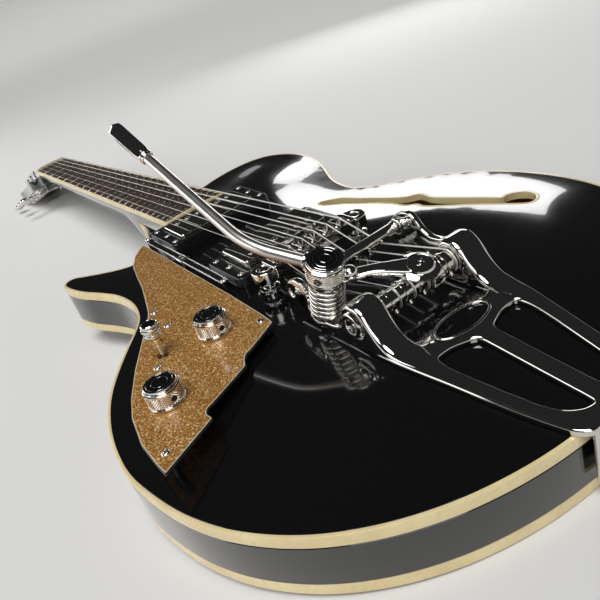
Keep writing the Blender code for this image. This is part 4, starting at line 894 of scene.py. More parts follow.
def build_tuners():
    under = -HEAD_THICK - 0.35
    bore, neck = POST_R + 0.25, POST_R + 1.45
    ferrule = lathe([(bore, -2), (neck, -2), (neck, 0.02), (5.6, 0.04), (5.6, 0.7), (5, 1.2),
                     (4.2, 1.6), (bore, 1.7)], 40, ring=True)
    for side, label in SIDES:
        cy = side * (POST_Y + 2)
        plate = slab(box_loop(52, 8.5, 3.2, POST_X[1], cy), [], under - 1.4, under, 0.2,
                     under=0.5)
        cases = [slab(box_loop(9, 7.6, 2.8, x, cy), [], under - 9.6, under - 0.7, 0.5,
                      under=1.6) for x in POST_X]
        piece(f"machine_plate_{label}", many([plate] + cases), at=HEADFRAME,
              node=f"tuner_plate_{label}", angle=40)
        screws = [shifted(dome_screw(1.7, 0.9), x, cy)
                  for x in (POST_X[0] - 15, POST_X[0] + 20, POST_X[1] + 20, POST_X[2] + 15)]
        piece(f"machine_screws_{label}",
              moved(many(screws), put(0, 0, under - 1.4) @ Matrix.Scale(-1, 4, UP)),
              at=HEADFRAME)
        piece(f"ferrules_{label}", many([shifted(ferrule, x, side * POST_Y) for x in POST_X]),
              at=HEADFRAME, bevel=0.15)
        for k, x in enumerate(POST_X):
            build_tuner(f"{label}_{k + 1}", x, side, under)


def build_tuner(tag, x, side, under):
    r = POST_R
    post = lathe([(0, under - 4.5), (r, under - 4.5), (r, 4.4), (r - 0.1, 5), (r - 0.25, 6.5),
                  (r - 0.1, 8.6), (r, 9.4), (r + 0.45, 9.9), (r + 0.5, 10.4), (r + 0.45, 11.2),
                  (r - 0.2, 11.9), (r - 1.2, 12), (0, 12)], 40)
    piece(f"post_{tag}", post, body=f"tuner_post_{tag}", at=HEADFRAME @ put(x, side * POST_Y),
          node=f"tuner_post_{tag}", bevel=0.12)
    keys = ((POST_Y + 5.8 - BUTTON_Y, 1.5, 1.5), (-12, 1.5, 1.5), (-0.6, 1.5, 1.5),
            (0.2, 2.6, 2.6), (0.6, 3, 3), (1.5, 3, 3), (1.9, 2.7, 2.5), (2.4, 4.6, 2.9),
            (3.2, 6.9, 3.3), (5, 8.5, 3.7), (7.5, 9.25, 3.85), (9.5, 9.2, 3.8), (11.6, 8.5, 3.4),
            (13, 7.2, 2.8), (13.9, 5.2, 2), (14.2, 2.6, 1))
    piece(f"button_{tag}", stack([(ellipse(rx, ry, 36), z) for z, rx, ry in keys]),
          body=f"tuner_button_{tag}",
          at=HEADFRAME @ put(x, side * BUTTON_Y, under - 5.2) @ turn(-90 * side, "X"),
          node=f"tuner_button_{tag}", angle=50)


def tangent_angle(px, py, cx, cy, radius, sign):
    """Angle on a circle where a line from a point touches it."""
    dx, dy = px - cx, py - cy
    return math.atan2(dy, dx) + sign * math.acos(radius / math.hypot(dx, dy))


def build_strings():
    for k, t, r in string_spots():
        y, sy = t * NUT_HALF, t * BRIDGE_HALF
        start = NECK @ Vector((NUT_X + NUT_LONG - 0.3, y, STRING_LIFT - crown(y)))
        saddle = Vector((SADDLE_X[k], sy, SADDLE_Z - crown(sy)))
        below = Vector((ROLL[0], sy, ROLL[2] - ROLL_R - 0.5 - r))
        radius = AXLE_R + 0.35 + r
        first = tangent_angle(below.x, below.z, AXLE[0], AXLE[2], radius, 1)
        wrap = [Vector((AXLE[0] + radius * math.cos(a), sy, AXLE[2] + radius * math.sin(a)))
                for a in np.linspace(first, first + math.radians(AXLE_WRAP), 22)]
        side = 1 if t > 0 else -1
        cx, cy = POST_X[5 - k if side > 0 else k], side * POST_Y
        at = HEADFRAME.inverted() @ start
        coil_r = POST_R + 0.35 + r
        angle = tangent_angle(at.x, at.y, cx, cy, coil_r, side)
        turns = []
        for share in np.linspace(0, POST_TURNS, 49):
            a = angle + side * TAU * share
            z = POST_SEAT - r - (2 * r + 0.5) * share
            turns.append(HEADFRAME @ Vector((*polar(coil_r, a, cx, cy), z)))
        lead = [start.lerp(saddle, f) for f in (0.002, 0.1, 0.3, 0.5, 0.7, 0.9, 0.998)]
        path = turns[::-1] + [start] + lead + [saddle, saddle.lerp(below, 0.03),
                                               saddle.lerp(below, 0.97), below] + wrap
        piece(f"string_wire_{k + 1}", tube(path, r, 12), "wound" if k < 3 else "plain",
              node=f"string_{k + 1}", angle=80)


def build_bridge():
    lanes = [t * BRIDGE_HALF for _, t, _ in string_spots()]
    slots = [softened([(-6.8, y - 3.75), (6.8, y - 3.75), (6.8, y + 3.75), (-6.8, y + 3.75)],
                      0.5, 2) for y in lanes]
    outer = box_loop(BAR_HALF, STUD_Y - 3.5, 2)
    lug = lathe([(4.35, 10.6), (8.1, 10.6), (8.5, 11), (8.6, 11.6), (8.6, 18.3), (8.5, 18.8),
                 (8.1, 19.2), (7.5, 19.35), (5, 19.35), (4.6, 19.1), (4.35, 18.8)],
                56, ring=True)
    piece("bridge_bar", many([slab(outer, slots, 14.8, 20.4, 0.7),
                              slab(outer, [], 12, 14.9, 0.05, under=0.6),
                              shifted(lug, 0, STUD_Y), shifted(lug, 0, -STUD_Y)]),
          body="bridge", node="bridge", angle=40)
    rod = lathe([(0, 0), (0.7, 0), (0.7, 13.2), (0, 13.2)], 12)
    screws = []
    for y in lanes:
        screws.append(moved(dome_screw(1.6, 1.2), put(BAR_HALF - 0.05, y, 16.7) @ turn(90, "Y")))
        screws.append(moved(rod, put(6.7, y, 16.7) @ turn(-90, "Y")))
    piece("bridge_screws", many(screws), body="bridge")
    h, wide = SADDLE_HALF
    for k, t, r in string_spots():
        y = t * BRIDGE_HALF
        z = SADDLE_Z - crown(y) - r - 0.4
        blade = drawn([(-h, 17.6), (h, 17.6), (h, z - 3.2), (h - 0.3, z - 2.6), (0.5, z),
                       (-0.5, z), (-h + 0.3, z - 2.6), (-h, z - 3.2)], wide)
        foot = drawn([(-h, 15), (h, 15), (h, 15.9), (-h, 15.9)], wide)
        piece(f"saddle_piece_{k + 1}", many([blade, foot]), body=f"saddle_{k + 1}",
              at=put(SADDLE_X[k], y), node=f"saddle_{k + 1}", bevel=0.25)
    wheel = []
    for z, r in ((2.9, 6.3), (3.2, 7), (5.6, 7), (5.9, 6.3)):
        notch = 0.28 if r > 6.5 else 0
        wheel.append(([((r - notch * (k % 2)) * x, (r - notch * (k % 2)) * y)
                       for k, (x, y) in enumerate(ellipse(1, 1, 60))], z))
    stem = lathe([(0, -18), (4.2, -18), (4.2, 2), (4, 2), (4, 18.6), (3.8, 19), (3.3, 19.3),
                  (2.6, 19.3), (2.4, 19), (0, 19)], 40)
    slot = stack([(((-0.5, -2.3), (0.5, -2.3), (0.5, 2.3), (-0.5, 2.3)), z)
                  for z in (19, 19.35)])
    for s, label in SIDES:
        # The recessed, slotted centre of each stud's top takes the near-black look: painted
        # shade in the recess.
        piece(f"stud_{label}", many([stack(wheel), stem, slot]), body=f"bridge_post_{label}",
              at=put(0, s * STUD_Y), node=f"bridge_post_{label}", bevel=0.12,
              second=("dark", lambda c, n: c.z > 18.9 and math.hypot(c.x, c.y) < 2.35))


def pole_screw(radius):
    """Round head with a straight slot."""
    halves = []
    for s in (1, -1):
        loop = [(s * max(0.28, radius * math.cos(a)), radius * math.sin(a))
                for a in np.linspace(-1.45, 1.45, 15)]
        halves.append(slab(loop, [], -0.5, 0.55, 0.15, steps=2))
    return many(halves + [lathe([(0, -0.5), (radius * 0.97, -0.5), (radius * 0.97, 0.12),
                                 (0, 0.12)], 32)])


def build_pickups():
    for label, x in RING_X.items():
        outer = divided(box_loop(*RING_HALF, 4, x),
                        lambda dx, dy: max(1, int(math.hypot(dx, dy) / 5)))
        verts, faces = slab(outer, [box_loop(*RING_HOLE, 1.5, x)], 0, RING_TOP, 1.3)
        verts = [v if v[2] > 0.01 else
                 (v[0], v[1], 0.3 if label == "bridge" else arch(v[0], v[1]) + 0.2)
                 for v in verts]
        piece(f"{label}_ring", (verts, faces), "plastic", node=f"{label}_pickup_ring", angle=40)
        spots = [(x + a * 17.8, b * 41.2) for a in (1, -1) for b in (1, -1)]
        spots += [(x, b * 40.2) for b in (1, -1)]
        piece(f"{label}_ring_screws", many([shifted(dome_screw(2.1, 1), *spot, RING_TOP - 0.1)
                                            for spot in spots]))
        top = COVER_TOP[label]
        piece(f"{label}_cover", slab(box_loop(*COVER_HALF, 2.6, x), [], -16, top, 1.4, steps=4),
              node=f"{label}_pickup", angle=50)
        row = x + (POLE_ROW if label == "neck" else -POLE_ROW)
        piece(f"{label}_poles", many([shifted(pole_screw(2.4), row, t * POLE_HALF, top)
                                      for _, t, _ in string_spots()]), bevel=0.1)


def leg(x, y, radius, top):
    """Round support from the arched top up to a height."""
    low = arch(x, y) + 0.2
    return shifted(lathe([(0, low), (radius, low), (radius, top), (0, top)], 24), x, y)


def build_guard():
    loop = leftward(softened(GUARD, 1.6, 5))
    holes = [circle(*spot, 3.5, 32) for spot in KNOB_SPOTS.values()]
    holes.append(circle(*SWITCH_SPOT, 3.6, 32))
    piece("guard_plate", slab(inset(loop, GUARD_BEVEL), holes, GUARD_LOW + 0.3, GUARD_TOP, 0.05,
                              steps=1), "gold", node="pickguard", angle=30)
    tiers = ((GUARD_BEVEL + 0.02, GUARD_LOW), (0.25, GUARD_LOW), (0, GUARD_LOW + 0.2),
             (0, GUARD_LOW + 0.8), (0.12, GUARD_TOP - 0.75), (0.4, GUARD_TOP - 0.3),
             (0.55, GUARD_TOP), (GUARD_BEVEL + 0.02, GUARD_TOP))
    piece("guard_edge", stack([(inset(loop, depth), z) for depth, z in tiers], closed=True),
          "ply", angle=24, second=("plastic", lambda c, n: n.z < 0.6))
    piece("guard_screws", many([shifted(dome_screw(2.4, 1), *spot, GUARD_TOP - 0.05)
                                for spot in GUARD_SCREWS]))
    piece("guard_legs", many([leg(*spot, 2.6, GUARD_LOW + 0.2) for spot in GUARD_SCREWS[:3]]),
          "plastic")


def build_trim():
    """Slim polished channel between the pickup rings and the guard, held by screws."""
    x0, x1, y, top = TRIM
    middle = (x0 + x1) / 2
    ends = (x0 + 2, x1 - 2)
    parts = [tube([(x0, y + a, top - 0.5), (x0 + 1, y + a, top), (x1 - 1, y + a, top),
                   (x1, y + a, top - 0.5)], 0.5, 16) for a in (-TRIM_RAIL, TRIM_RAIL)]
    parts.append(slab(box_loop(5.2, 3.6, 0.6, middle, y), [box_loop(3.6, 2.1, 0.4, middle, y)],
                      top - 0.8, top + 1, 0.35))
    parts.append(shifted(dome_screw(1.3, 0.7), middle, y, top - 0.1))
    parts += [shifted(dome_screw(2.5, 1.5), x, y, top - 0.2) for x in ends]
    piece("trim_bar", many(parts), angle=30)
    base = slab(box_loop((x1 - x0) / 2, 2.9, 0.6, middle, y), [], top - 1.2, top - 0.25, 0.1)
    piece("trim_base", many([base] + [leg(x, y, 1.6, top - 1.1)
                                      for x in (ends[0], middle, ends[1])]), "plastic")


def knurled(radius, low, high, count):
    """Rings of a band cut in crossed diagonal grooves."""
    rows, deep = 5, 0.5
    layers, total = rows * KNURL_PER, count * KNURL_PER
    rings = []
    for j in range(layers + 1):
        ease = min(1, j / 2, (layers - j) / 2)
        ring = []
        for k, (x, y) in enumerate(ellipse(1, 1, total)):
            u = (k / KNURL_PER + j / KNURL_PER) % 1
            v = (k / KNURL_PER - j / KNURL_PER) % 1
            r = radius - deep * (1 - min(1, min(abs(u - 0.5), abs(v - 0.5)) * 2)) * ease
            ring.append((r * x, r * y, low + (high - low) * j / layers))
        rings.append(ring)
    return rings


def cap_rings(profile, total):
    return [[(x, y, z) for x, y in ellipse(r, r, total)] for r, z in profile]


def build_cap(name, body, at, r, high, foot, band_z, count, inlay, lines):
    """Knurled cup with a foot ring, a stepped crown and a black top with bright rings."""
    low, top = band_z
    crown_run = offset((
        (0.05, 0.15), (0.1, 0.35), (0.05, 0.75), (-0.35, 1), (-0.55, 1.05), (-0.55, 1.6),
        (-0.7, 1.85), (-1, 1.95), (-1.15, 2.05), (-1.15, 2.4)), r, top)
    crown_run += [(r - 1.3, high - 0.1), (r - 1.55, high), (r - 1.8, high),
                  (r - 1.9, high - 0.3)]
    total = count * KNURL_PER
    # The knurled band takes the paler copy of the plating, whose lighter colour is painted
    # sheen.
    piece(f"{name}_body", skin(cap_rings(foot, total) + knurled(r, low, top, count)
                               + cap_rings(crown_run, total)),
          body=body, at=at, node=name, angle=24,
          second=("knurl_sheen", lambda c, n: low - 0.05 < c.z < top + 0.1))
    edge, middle, dip = inlay
    piece(f"{name}_inlay", lathe([(edge, high - 0.35), (edge - 0.05, high - 0.2),
                                  (middle, high - 0.12), (0, high - dip)], 64),
          "inset", body, at=at)
    radii, line_z = lines
    line = ((-0.22, -0.2), (-0.2, 0.02), (-0.08, 0.1), (0.08, 0.1), (0.2, 0.02), (0.22, -0.2))
    piece(f"{name}_lines", many([lathe(offset(line, radius, high - line_z), 80, ring=True)
                                 for radius in radii]), body=body, at=at)


def grub(radius):
    """Dark dished plug that fills a screw's side hole, its near-black the painted shade of the
    hole.
    """
    return lathe([(0, -0.5), (radius, -0.5), (radius, 0.22), (radius * 0.9, 0.3),
                  (radius * 0.82, 0.16), (0, 0.12)], 28)


def build_knobs():
    foot = [(3.4, 0), (10.5, 0), (10.72, 0.2), (10.72, 1.2), (10.5, 1.45)]
    for name, spot in KNOB_SPOTS.items():
        at = put(*spot, GUARD_TOP + 0.35)
        build_cap(name, name, at, 10.4, 12.6, foot, (1.75, 9.4), 40, (8.6, 6, 0.08),
                  ((7.5, 4.6), 0.14))
        piece(f"{name}_grub", moved(grub(1.7), put(-10.35, 0, 5.4) @ turn(-90, "Y")), "dark",
              name, at=at @ turn(7, "Z"))


def build_switch():
    at = put(*SWITCH_SPOT, SWITCH_PIVOT_Z)
    ball = 2.3
    top = SWITCH_TOP_Z - SWITCH_PIVOT_Z
    profile = [(ball * r, ball * z) for r, z in (
        (0, -1), (0.5, -0.87), (0.87, -0.5), (1, 0), (0.87, 0.5), (0.6, 0.8))]
    profile += [(1.3, ball * 1.1), (1, ball * 1.5), (1, top - 6), (0, top - 6)]
    piece("selector_lever", lathe(profile, 32), body="selector", at=at, node="switch_lever")
    low = top - 16
    tip = lathe(offset((
        (1.6, 0), (2.5, 0), (2.75, 0.25), (2.95, 0.8), (3.05, 2.5), (3.15, 4.4), (3.9, 5.6),
        (4.9, 7), (5.5, 7.8), (5.6, 8.3), (5.6, 9.2), (5.4, 9.55), (4.95, 9.7), (4.85, 10.2),
        (4.95, 10.8), (5.6, 11.1), (5.85, 11.5), (5.85, 12.7), (5.7, 13.2), (5.25, 13.45),
        (5.2, 14), (5.3, 14.6), (5.1, 15.3), (4.6, 15.75), (4, 15.8), (3.9, 15.6),
        (1.6, 15.55)), up=low), 56, ring=True)
    piece("selector_tip", tip, body="selector", at=at, node="switch_tip", angle=30)
    piece("selector_inlay", lathe([(4, low + 15.62), (3, low + 15.82), (1.5, low + 15.95),
                                   (0, low + 16)], 48), "inset", "selector", at=at)
    hole = moved(grub(0.95), turn(58, "Z") @ put(-3, 0, low + 2.6) @ turn(-90, "Y"))
    piece("selector_grub", hole, "dark", "selector", at=at)


def plate_lift(x, y):
    return arch(max(x, TAIL_X), y) + 0.6


def hub_arc(first, last, step):
    return [polar(10.6, math.radians(a), AXLE[0], AXLE[2]) for a in range(first, last, step)]


def ear_loop(side):
    """Upright outline of a cheek, from the bar's fin back over the hub."""
    fin = [(-42, 1.6), (-37, 9), (-35, 16)]
    if side > 0:
        fin += [(-37, 22.5), (-42, 26.8), (-49, 29), (-54.6, 27.6), (-56.6, 21), (-54.6, 11),
                (-60, 7.2), (-75, 7), (-84, 9.4)] + hub_arc(-10, 181, 11)
    else:
        fin += [(-37, 22), (-42, 26.4), (-49.5, 29.9), (-55.5, 30.4), (-60.2, 27),
                (-64.3, 20.8), (-71, 17.2), (-80, 17.8)] + hub_arc(40, 181, 11)
    return softened(fin + [(-110, 10), (-110, 0.8), (-84, 0.8), (-60, 1.2)], 3, 4)


def facing(side):
    """Turn that sends local Z out of the near or the far side."""
    return turn(-90 * side, "X")


def hub_solid(side):
    """Barrel round the axle, its foot, and the ramp that runs out into the plate."""
    barrel = lathe([(HUB_BORE, 27.2), (9, 27.2), (10, 27.6), (10.8, 28.6), (11.3, 30.2),
                    (11.4, 33), (11.4, 40.6), (11.2, 42), (10.8, 43), (10.2, 43.8),
                    (9.4, 44.25), (8.7, 44.2), (8.2, 43.9), (7.9, 43.5), (HUB_BORE, 43.4)],
                   72, ring=True)
    foot = [(-83.6, 1), (-84.4, 4), (-86.2, 6), (-87.4, 9), (-88.4, 14), (-92, 23), (-106, 23),
            (-109.6, 15), (-110.4, 8), (-110.4, 1)]
    low, high = sorted((side * 28.4, side * 43.7))
    block = moved(slab(softened(foot, 2.5, 3), [circle(AXLE[0], AXLE[2], HUB_BORE)], low, high,
                       2.2, under=2.2, steps=4), STAND)
    over = [(x, 27.7, 44.2, *(AXLE[2] + math.sqrt(r ** 2 - (x - AXLE[0]) ** 2)
                              for r in (11.42, 7.6)))
            for x in (-101, -102.5, -104, -105.3, -106.5)]
    rows = []
    for x, inner, outer, top, low in over + [(*row, 1) for row in spline(HUB_RAMP, 4, False)]:
        r = min(3.2, (top - low) * 0.55)
        bends = [(1 - math.cos(a), 1 - math.sin(a)) for a in np.linspace(0, math.pi / 2, 7)]
        ring = [(inner, low)] + [(inner + r * c, top - r * s) for c, s in bends]
        ring += [(outer - r * s, top - r * c) for c, s in bends] + [(outer, low)]
        rows.append([(x, side * y, z) for y, z in ring])
    return [moved(barrel, put(*AXLE) @ facing(side)), block, skin(rows)]


def build_frame():
    outer = softened(PLATE_EDGE + tuple((x, -y) for x, y in reversed(PLATE_EDGE)), 6, 6)
    windows = [softened([(x, s * y) for x, y in PLATE_WINDOW], 5, 6) for s in (1, -1)]
    bx, half_x, half_y = BADGE
    badge = ellipse(half_x, half_y, 64, bx)
    plate = slab(outer, windows + [badge], 0.2, 3.4, 1.5, lift=plate_lift, spacing=6, steps=4)
    bed = slab(inset(badge, -0.6), [], 0.4, 2.4, 0.01, lift=plate_lift, steps=1)
    rim = slab(ellipse(half_x + 1.2, half_y + 0.9, 64, bx), [inset(badge, 0.5)], 2, 3.75, 0.5,
               lift=plate_lift)
    holes = [circle(AXLE[0], AXLE[2], HUB_BORE), circle(ROLL[0], ROLL[2], 2.6, 24)]
    collar = lathe([(2.7, 0), (4.7, 0), (5.1, -0.3), (5.1, -1), (2.7, -1)], 40, ring=True)
    ears = []
    for s in (1, -1):
        low, high = sorted((s * 39.7, s * 44))
        ears.append(moved(slab(ear_loop(s), holes, low, high, 1.2, under=1.2), STAND))
        ears += hub_solid(s)
        ears.append(moved(collar, put(ROLL[0], s * 39.2, ROLL[2]) @ facing(-s)))
    tail = moved(slab(softened([(-220.4, -5.4), (-220.4, -38), (-223.4, -38), (-223.4, -7.6),
                                (-221.8, -5)], 1.2, 3), [], -21, 21, 1, under=1), STAND)
    seat = moved(lathe([(0, -3), (9.8, -3), (10.3, -2.5), (10.4, -0.6), (10.1, -0.1), (9.7, 0),
                        (0, 0)], 56), LEVER @ put(*KNOB_SPOT, SEAT_LEVEL))
    foot = slab(box_loop(7, 6, 2.4, -66, 38), [], arch(-66, 36.5) + 0.3, 6.5, 0.3)

    def recessed(c, n):
        """Faces of the bare badge recess."""
        share = ((c.x - bx) / (half_x - 0.4)) ** 2 + (c.y / (half_y - 0.4)) ** 2
        return share < 1 and n.z > 0.8 and c.z < arch(c.x, c.y) + 3.4

    piece("vibrato_frame", many([plate, bed, rim, tail, seat, foot] + ears),
          node="tremolo_frame", angle=40, second=("inset", recessed))
    screws = []
    for s, fin in ((1, (-49.9, 21.9, 2.6)), (-1, (-54.9, 24.1, 2.6))):
        for x, z, r in (fin, (-66, 4.2, 1.6)):
            for face, way in ((43.9, s), (39.8, -s)):
                screws.append(moved(dome_screw(r, 0.9), put(x, s * face, z) @ facing(way)))
    piece("frame_screws", many(screws))


def mirrored(half, middle=()):
    """Profile of one end, what lies between, and the other end."""
    return [*half, *middle, *[(r, -z) for r, z in half[::-1]]]


def build_axle():
    stand = put(*AXLE) @ SPIN_Y
    end = [(0, -44), (3.5, -44)] + offset((
        (3.5, 0), (6.9, 0), (7.1, 0.5), (7.1, 2), (6.9, 2.5), (6.2, 2.7), (6.2, 3.6),
        (AXLE_R, 4)), up=-AXLE_SHOULDER)
    bead = ((0, -1), (0.7, -0.8), (0.8, 0), (0.7, 0.8), (0, 1))
    beads = [spot for y in (-20.8, 0, 10.4, 20.8) for spot in offset(bead, AXLE_R, y)]
    piece("roller_shaft", lathe(mirrored(end, beads), 56), body="rocker", at=stand,
          node="tremolo_axle", angle=30)
    pin = lathe([(0, 0), (1, 0), (1, 2.6), (0.6, 3.1), (0, 3.1)], 20)
    piece("roller_pins", many([
        moved(pin, put(AXLE[0], t * BRIDGE_HALF + 2.6, AXLE[2]) @ turn(-150, "Y")
              @ put(0, 0, 5.6)) for _, t, _ in string_spots()]), body="rocker")
    cup = [(0, 44.5), (3.9, 44.5), (3.9, 40), (6.5, 40), (6.5, 44.4), (7.3, 44.5), (7.6, 44.8),
           (7.55, 45.3), (7.1, 45.9), (6.4, 46.2), (5.2, 46.25), (4.6, 46), (4.4, 45.7),
           (4, 45.7), (3.8, 46), (3, 46.15), (2.4, 45.9), (1.2, 45.4), (0, 45.3)]
    for s, label in SIDES:
        piece(f"bearing_cap_{label}", lathe([(r, s * z) for r, z in cup], 56), at=stand,
              node=f"axle_bearing_{label}", angle=30)
    end = [(0, -5), (2.1, -5), (2.1, 0), (ROLL_R + 0.2, 0), (ROLL_R + 0.5, 0.3),
           (ROLL_R + 0.5, 2.1), (ROLL_R + 0.2, 2.4), (ROLL_R, 2.4)]
    piece("bar_roller", lathe(mirrored(offset(end, up=-ROLL_HALF)), 48),
          body="tension_bar", at=put(*ROLL) @ SPIN_Y, node="tension_bar", angle=30)


def build_lever():
    kx, ky = KNOB_SPOT
    hx, hy = HUB_SPOT
    keys = ((hx + 1, hy + 1.4, 9.9, 5.8, 1.9), (6, 2.6, 9.8, 5.3, 2.1),
            (10.5, 8.8, 9.6, 4.5, 2.5), (15, 15.1, 9.1, 4, 2.7), (19.6, 21.5, 8.1, 4, 2.3),
            (24.2, 27.9, 6.8, 4.5, 1.3), (28.6, 34, 6.65, 5.2, 1.2))
    across = Vector((ky - hy, hx - kx, 0)).normalized()
    rings = []
    for x, y, z, wide, tall in spline(keys, 6, closed=False):
        squared = [(math.copysign(abs(u) ** 0.6, u), math.copysign(abs(v) ** 0.6, v))
                   for u, v in ellipse(1, 1, 32)]
        rings.append([Vector((x, y, z)) + across * (wide * u) + UP * (tall * v)
                      for u, v in squared])
    disc = shifted(lathe([(0, 7.95), (10.6, 7.95), (11.2, 8.1), (11.35, 8.6), (11.15, 9.1),
                          (10.4, 9.6), (9.3, 10.1), (8.4, 10.6), (7.9, 11.1), (7.7, 11.6),
                          (7.4, 12), (7, 12.1), (6.7, 11.95), (6.5, 11.75), (6.2, 11.8),
                          (5.2, 12.05), (4, 12.25), (2.9, 12.35), (2.7, 12), (2.4, 12),
                          (2.25, 12.5), (1.9, 12.8), (1.1, 12.9), (0.9, 12.3), (0, 12.3)], 80),
                   hx, hy)
    bore = AXLE_R + 0.35
    clamp = moved(lathe([(bore, -3.9), (9, -3.9), (9.3, -3.5), (9.3, 3.5), (9, 3.9),
                         (bore, 3.9)], 48, ring=True), put(0, LEVER_Y) @ SPIN_Y)
    eye = shifted(lathe([(3.8, 5.3), (9.4, 5.3), (9.8, 5.6), (9.9, 6), (9.9, 7.3), (9.7, 7.8),
                         (9.3, 8), (3.8, 8)], 56, ring=True), kx, ky)
    piece("lever_arm", many([skin(rings), disc, clamp, eye]), body="rocker", at=LEVER,
          node="rocker_lever", angle=32)


def build_arm():
    at = LEVER @ put(*KNOB_SPOT)
    build_cap("arm_knob", "arm", at, 11.3, 21.9,
              [(3.2, 1), (3.2, 8.35), (10.2, 8.35), (10.5, 8.6), (10.6, 9.3), (10.6, 10),
               (11, 10.3)], (10.6, 18.6), 44, (9.5, 6.6, 0.05), ((8.4, 6.4, 3.2), 0.13))
    away = Vector((51.3, 26.1, 0)).normalized()
    cross = UP.cross(away)
    side_hole = aimed(cross, cross * 11.25 + UP * 13.8)
    piece("arm_knob_grub", moved(grub(2.1), side_hole), "dark", "arm", at=at)
    socket = lathe([(0, 0), (1.4, 0), (1.4, 0.24), (1.1, 0.34), (0.7, 0.34), (0.5, 0.14),
                    (0, 0.14)], 24)
    piece("arm_knob_grub_screw", moved(socket, side_hole), body="arm", at=at)
    rise = UP * ARM_LEVEL
    collar = lathe([(3.6, 0), (4.9, 0), (5.2, 0.3), (5.2, 1.2), (4.8, 1.6), (3.6, 1.6)], 40,
                   ring=True)
    piece("arm_knob_collar", moved(collar, aimed(away, away * 10.6 + rise)), body="arm", at=at)
    corner = away * 47.2
    reach = Vector((ARM_TIP[0] - KNOB_SPOT[0], ARM_TIP[1] - KNOB_SPOT[1], 0)) - corner
    ahead = reach.normalized()
    grip = reach.length - GRIP_LONG
    path = [away * -14, away * 5, away * 20]
    path += bend(corner - away * ARM_BEND, corner, corner + ahead * ARM_BEND, 16)
    path += [corner + ahead * (grip * 0.6), corner + ahead * grip]
    path = [point + rise for point in path]
    ball = lathe([(0, -4.3), (1.6, -4.1), (2.9, -3.3), (3.9, -2.1), (4.35, -0.7), (4.35, 0.7),
                  (3.9, 2.1), (2.9, 3.3), (1.6, 4.1), (0, 4.3)], 32)
    ferrule = lathe([(3.4, 0), (4.1, 0), (4.3, 0.3), (4.3, 1), (4, 1.3), (4, 1.7), (4.8, 1.9),
                     (5, 2.3), (5, 3.1), (4.7, 3.4), (4.3, 3.5), (4.3, 4), (3.4, 4)], 48,
                    ring=True)
    piece("arm_rod", tube(path, ARM_R, 36), "satin", "arm", at=at, node="tremolo_arm", angle=40)
    piece("arm_ends", many([shifted(ball, *path[0]),
                            moved(ferrule, aimed(ahead, corner + ahead * (grip - 3.6) + rise))]),
          body="arm", at=at, angle=40)
    handle = stack([([polar(r, math.radians(a)) for a in range(10, 370, 60)], z)
                    for z, r in ((0, 4.3), (0.4, 4.8), (3, 5.3), (7, 5.65), (36, 5.9),
                                 (41, 5.6), (42.6, 4.9))])
    piece("arm_grip", moved(handle, aimed(ahead, corner + ahead * (grip + 0.2) + rise)),
          body="arm", at=at, bevel=0.5, segments=3, angle=25)


def build_spring():
    at = LEVER @ put(*KNOB_SPOT, SEAT_LEVEL + 0.35)
    tall = SPRING_TOP - SEAT_LEVEL - 0.35
    low = 2.2
    high = tall - low
    path = [(SPRING_R, 0, 0)]
    steps = int(SPRING_TURNS * 36)
    for i in range(steps + 1):
        a = TAU * SPRING_TURNS * (i / steps)
        path.append((*polar(SPRING_R, a), low + (high - low) * (i / steps)))
    path.append((*path[-1][:2], tall))
    spring = piece("coil", tube(path, SPRING_WIRE, 16), body=None, at=at,
                   node="tremolo_spring", angle=60)
    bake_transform(spring)


def build_fittings():
    jack = [(0, -16), (2.4, -16), (3.3, -15), (3.45, -14), (3.45, 3.4), (3.8, 4), (5, 4),
            (5.4, 3.7), (6, 3.4), (6.1, 2.2), (8.5, 2), (10.6, 1.5), (11.3, 0.9), (11.4, 0.3),
            (4.9, 0.3), (4.9, -18), (0, -18)]
    button = ((5.4, 0), (5.6, 0.3), (5.5, 1.1), (4.2, 1.9), (3.3, 3.2), (3.2, 5.2), (3.8, 6.6),
              (5.6, 7.6), (6.7, 8.2), (6.9, 8.8), (6.6, 9.6), (5.4, 10.3), (2.6, 10.4),
              (2.4, 9.6), (0, 9.6))
    tail, shoulder = [[(0, -12), (1.5, -12), (1.5, base)] + offset(button, up=base)
                      for base in (5.95, 0.35)]
    for name, near, z, profile in (("output_jack", (-216.2, -34), -28, jack),
                                   ("strap_button_tail", (-218, 0), -30.5, tail),
                                   ("strap_button_shoulder", (268, -87), -28, shoulder)):
        k = int(norm(BODY_PTS - near, axis=1).argmin())
        along = Vector((*(BODY_PTS[(k + 1) % len(BODY_PTS)] - BODY_PTS[k - 1]), 0)).normalized()
        out = along.cross(UP)
        at = axes(UP.cross(out), UP, out, (*BODY_PTS[k], z))
        piece(f"{name}_metal", lathe(profile, 56), at=at, node=name, angle=30)
    for slot in frame["nodes"]["control_deck"].material_slots:
        slot.material = LOOKS["satin"].mat


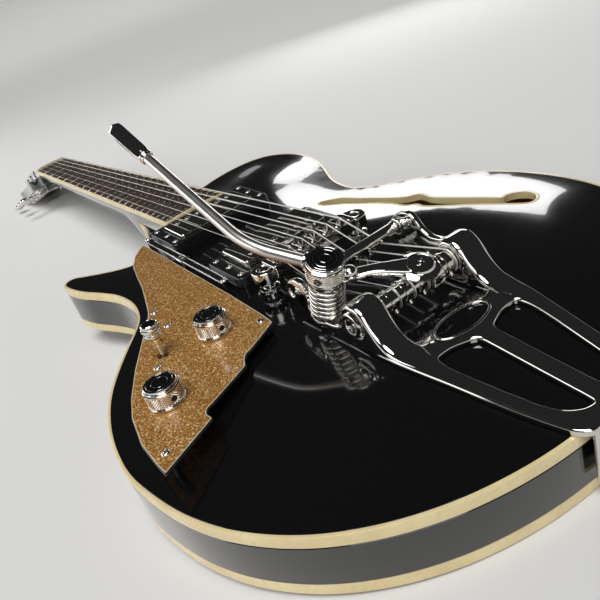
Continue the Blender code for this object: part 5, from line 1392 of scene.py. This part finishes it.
def box_lamp(name, at, along, wide, tall, power):
    """Soft box that faces the bridge, placed in millimetres in the plan axes."""
    data = bpy.data.lights.new(name, "AREA")
    data.shape = "RECTANGLE"
    data.size = wide
    data.size_y = tall
    data.energy = power
    away = Vector(at).normalized()
    run = Vector(along)
    run = (run - away * run.dot(away)).normalized()
    placed(name, data, WORLD @ axes(run, away.cross(run), away, Vector(at) * MM))


def build_stage():
    scene = bpy.context.scene
    lens = bpy.data.cameras.new("camera")
    lens.sensor_fit = "HORIZONTAL"
    lens.sensor_width = 36
    lens.lens = lens.sensor_width * PHOTO_FOCAL / PHOTO_WIDTH
    lens.clip_start = 0.02
    lens.clip_end = 50
    right = Vector((-0.55956, -0.77742, -0.28724))
    down = Vector((-0.27617, 0.50167, -0.81979))
    ahead = Vector((0.78143, -0.37940, -0.49541))
    eye = Vector((-365.94, 198.14, 216.45)) * MM
    scene.camera = placed("camera", lens, WORLD @ axes(right, -down, -ahead, eye))
    mesh = bpy.data.meshes.new("floor")
    verts, faces = lathe([(0, 0), (2.2, 0), (3.4, 0), (3.8, 0.04), (4.05, 0.15), (4.2, 0.34),
                          (4.25, 0.6)], 96)
    mesh.from_pydata(verts, [], faces)
    mesh.shade_smooth()
    mesh.materials.append(Look("pale_floor", (0.74, 0.735, 0.725), rough=((3,), 0.8, 0.9)).mat)
    placed("floor", mesh, put(0, 0, -0.0002))
    world = bpy.data.worlds.new("soft_studio")
    scene.world = world
    world.use_nodes = True
    back = world.node_tree.nodes["Background"].inputs
    back["Color"].default_value = (0.95, 0.97, 1, 1)
    back["Strength"].default_value = 0.022
    sky = bpy.data.lights.new("overhead", "SUN")
    sky.energy = 2.2
    sky.angle = math.radians(38)
    placed("overhead", sky, aimed(Vector((-0.25, 0.3, 1))))
    box_lamp("near", (1000, 1150, 430), (0.86, -0.5, 0), 2.2, 0.5, 10)
    box_lamp("fill", (-1500, 900, 900), (0.5, 0.86, 0), 1.2, 0.9, 7)
    box_lamp("strip", (897, -940, 272), (-0.683, -0.728, 0.05), 0.66, 0.25, 1.8)
    scene.view_settings.view_transform = "Standard"


for build in (build_stage, build_body, build_neck, build_board, build_nut, build_tuners,
              build_strings, build_bridge, build_pickups, build_guard, build_trim, build_knobs,
              build_switch, build_frame, build_axle, build_lever, build_arm, build_spring,
              build_fittings):
    build()
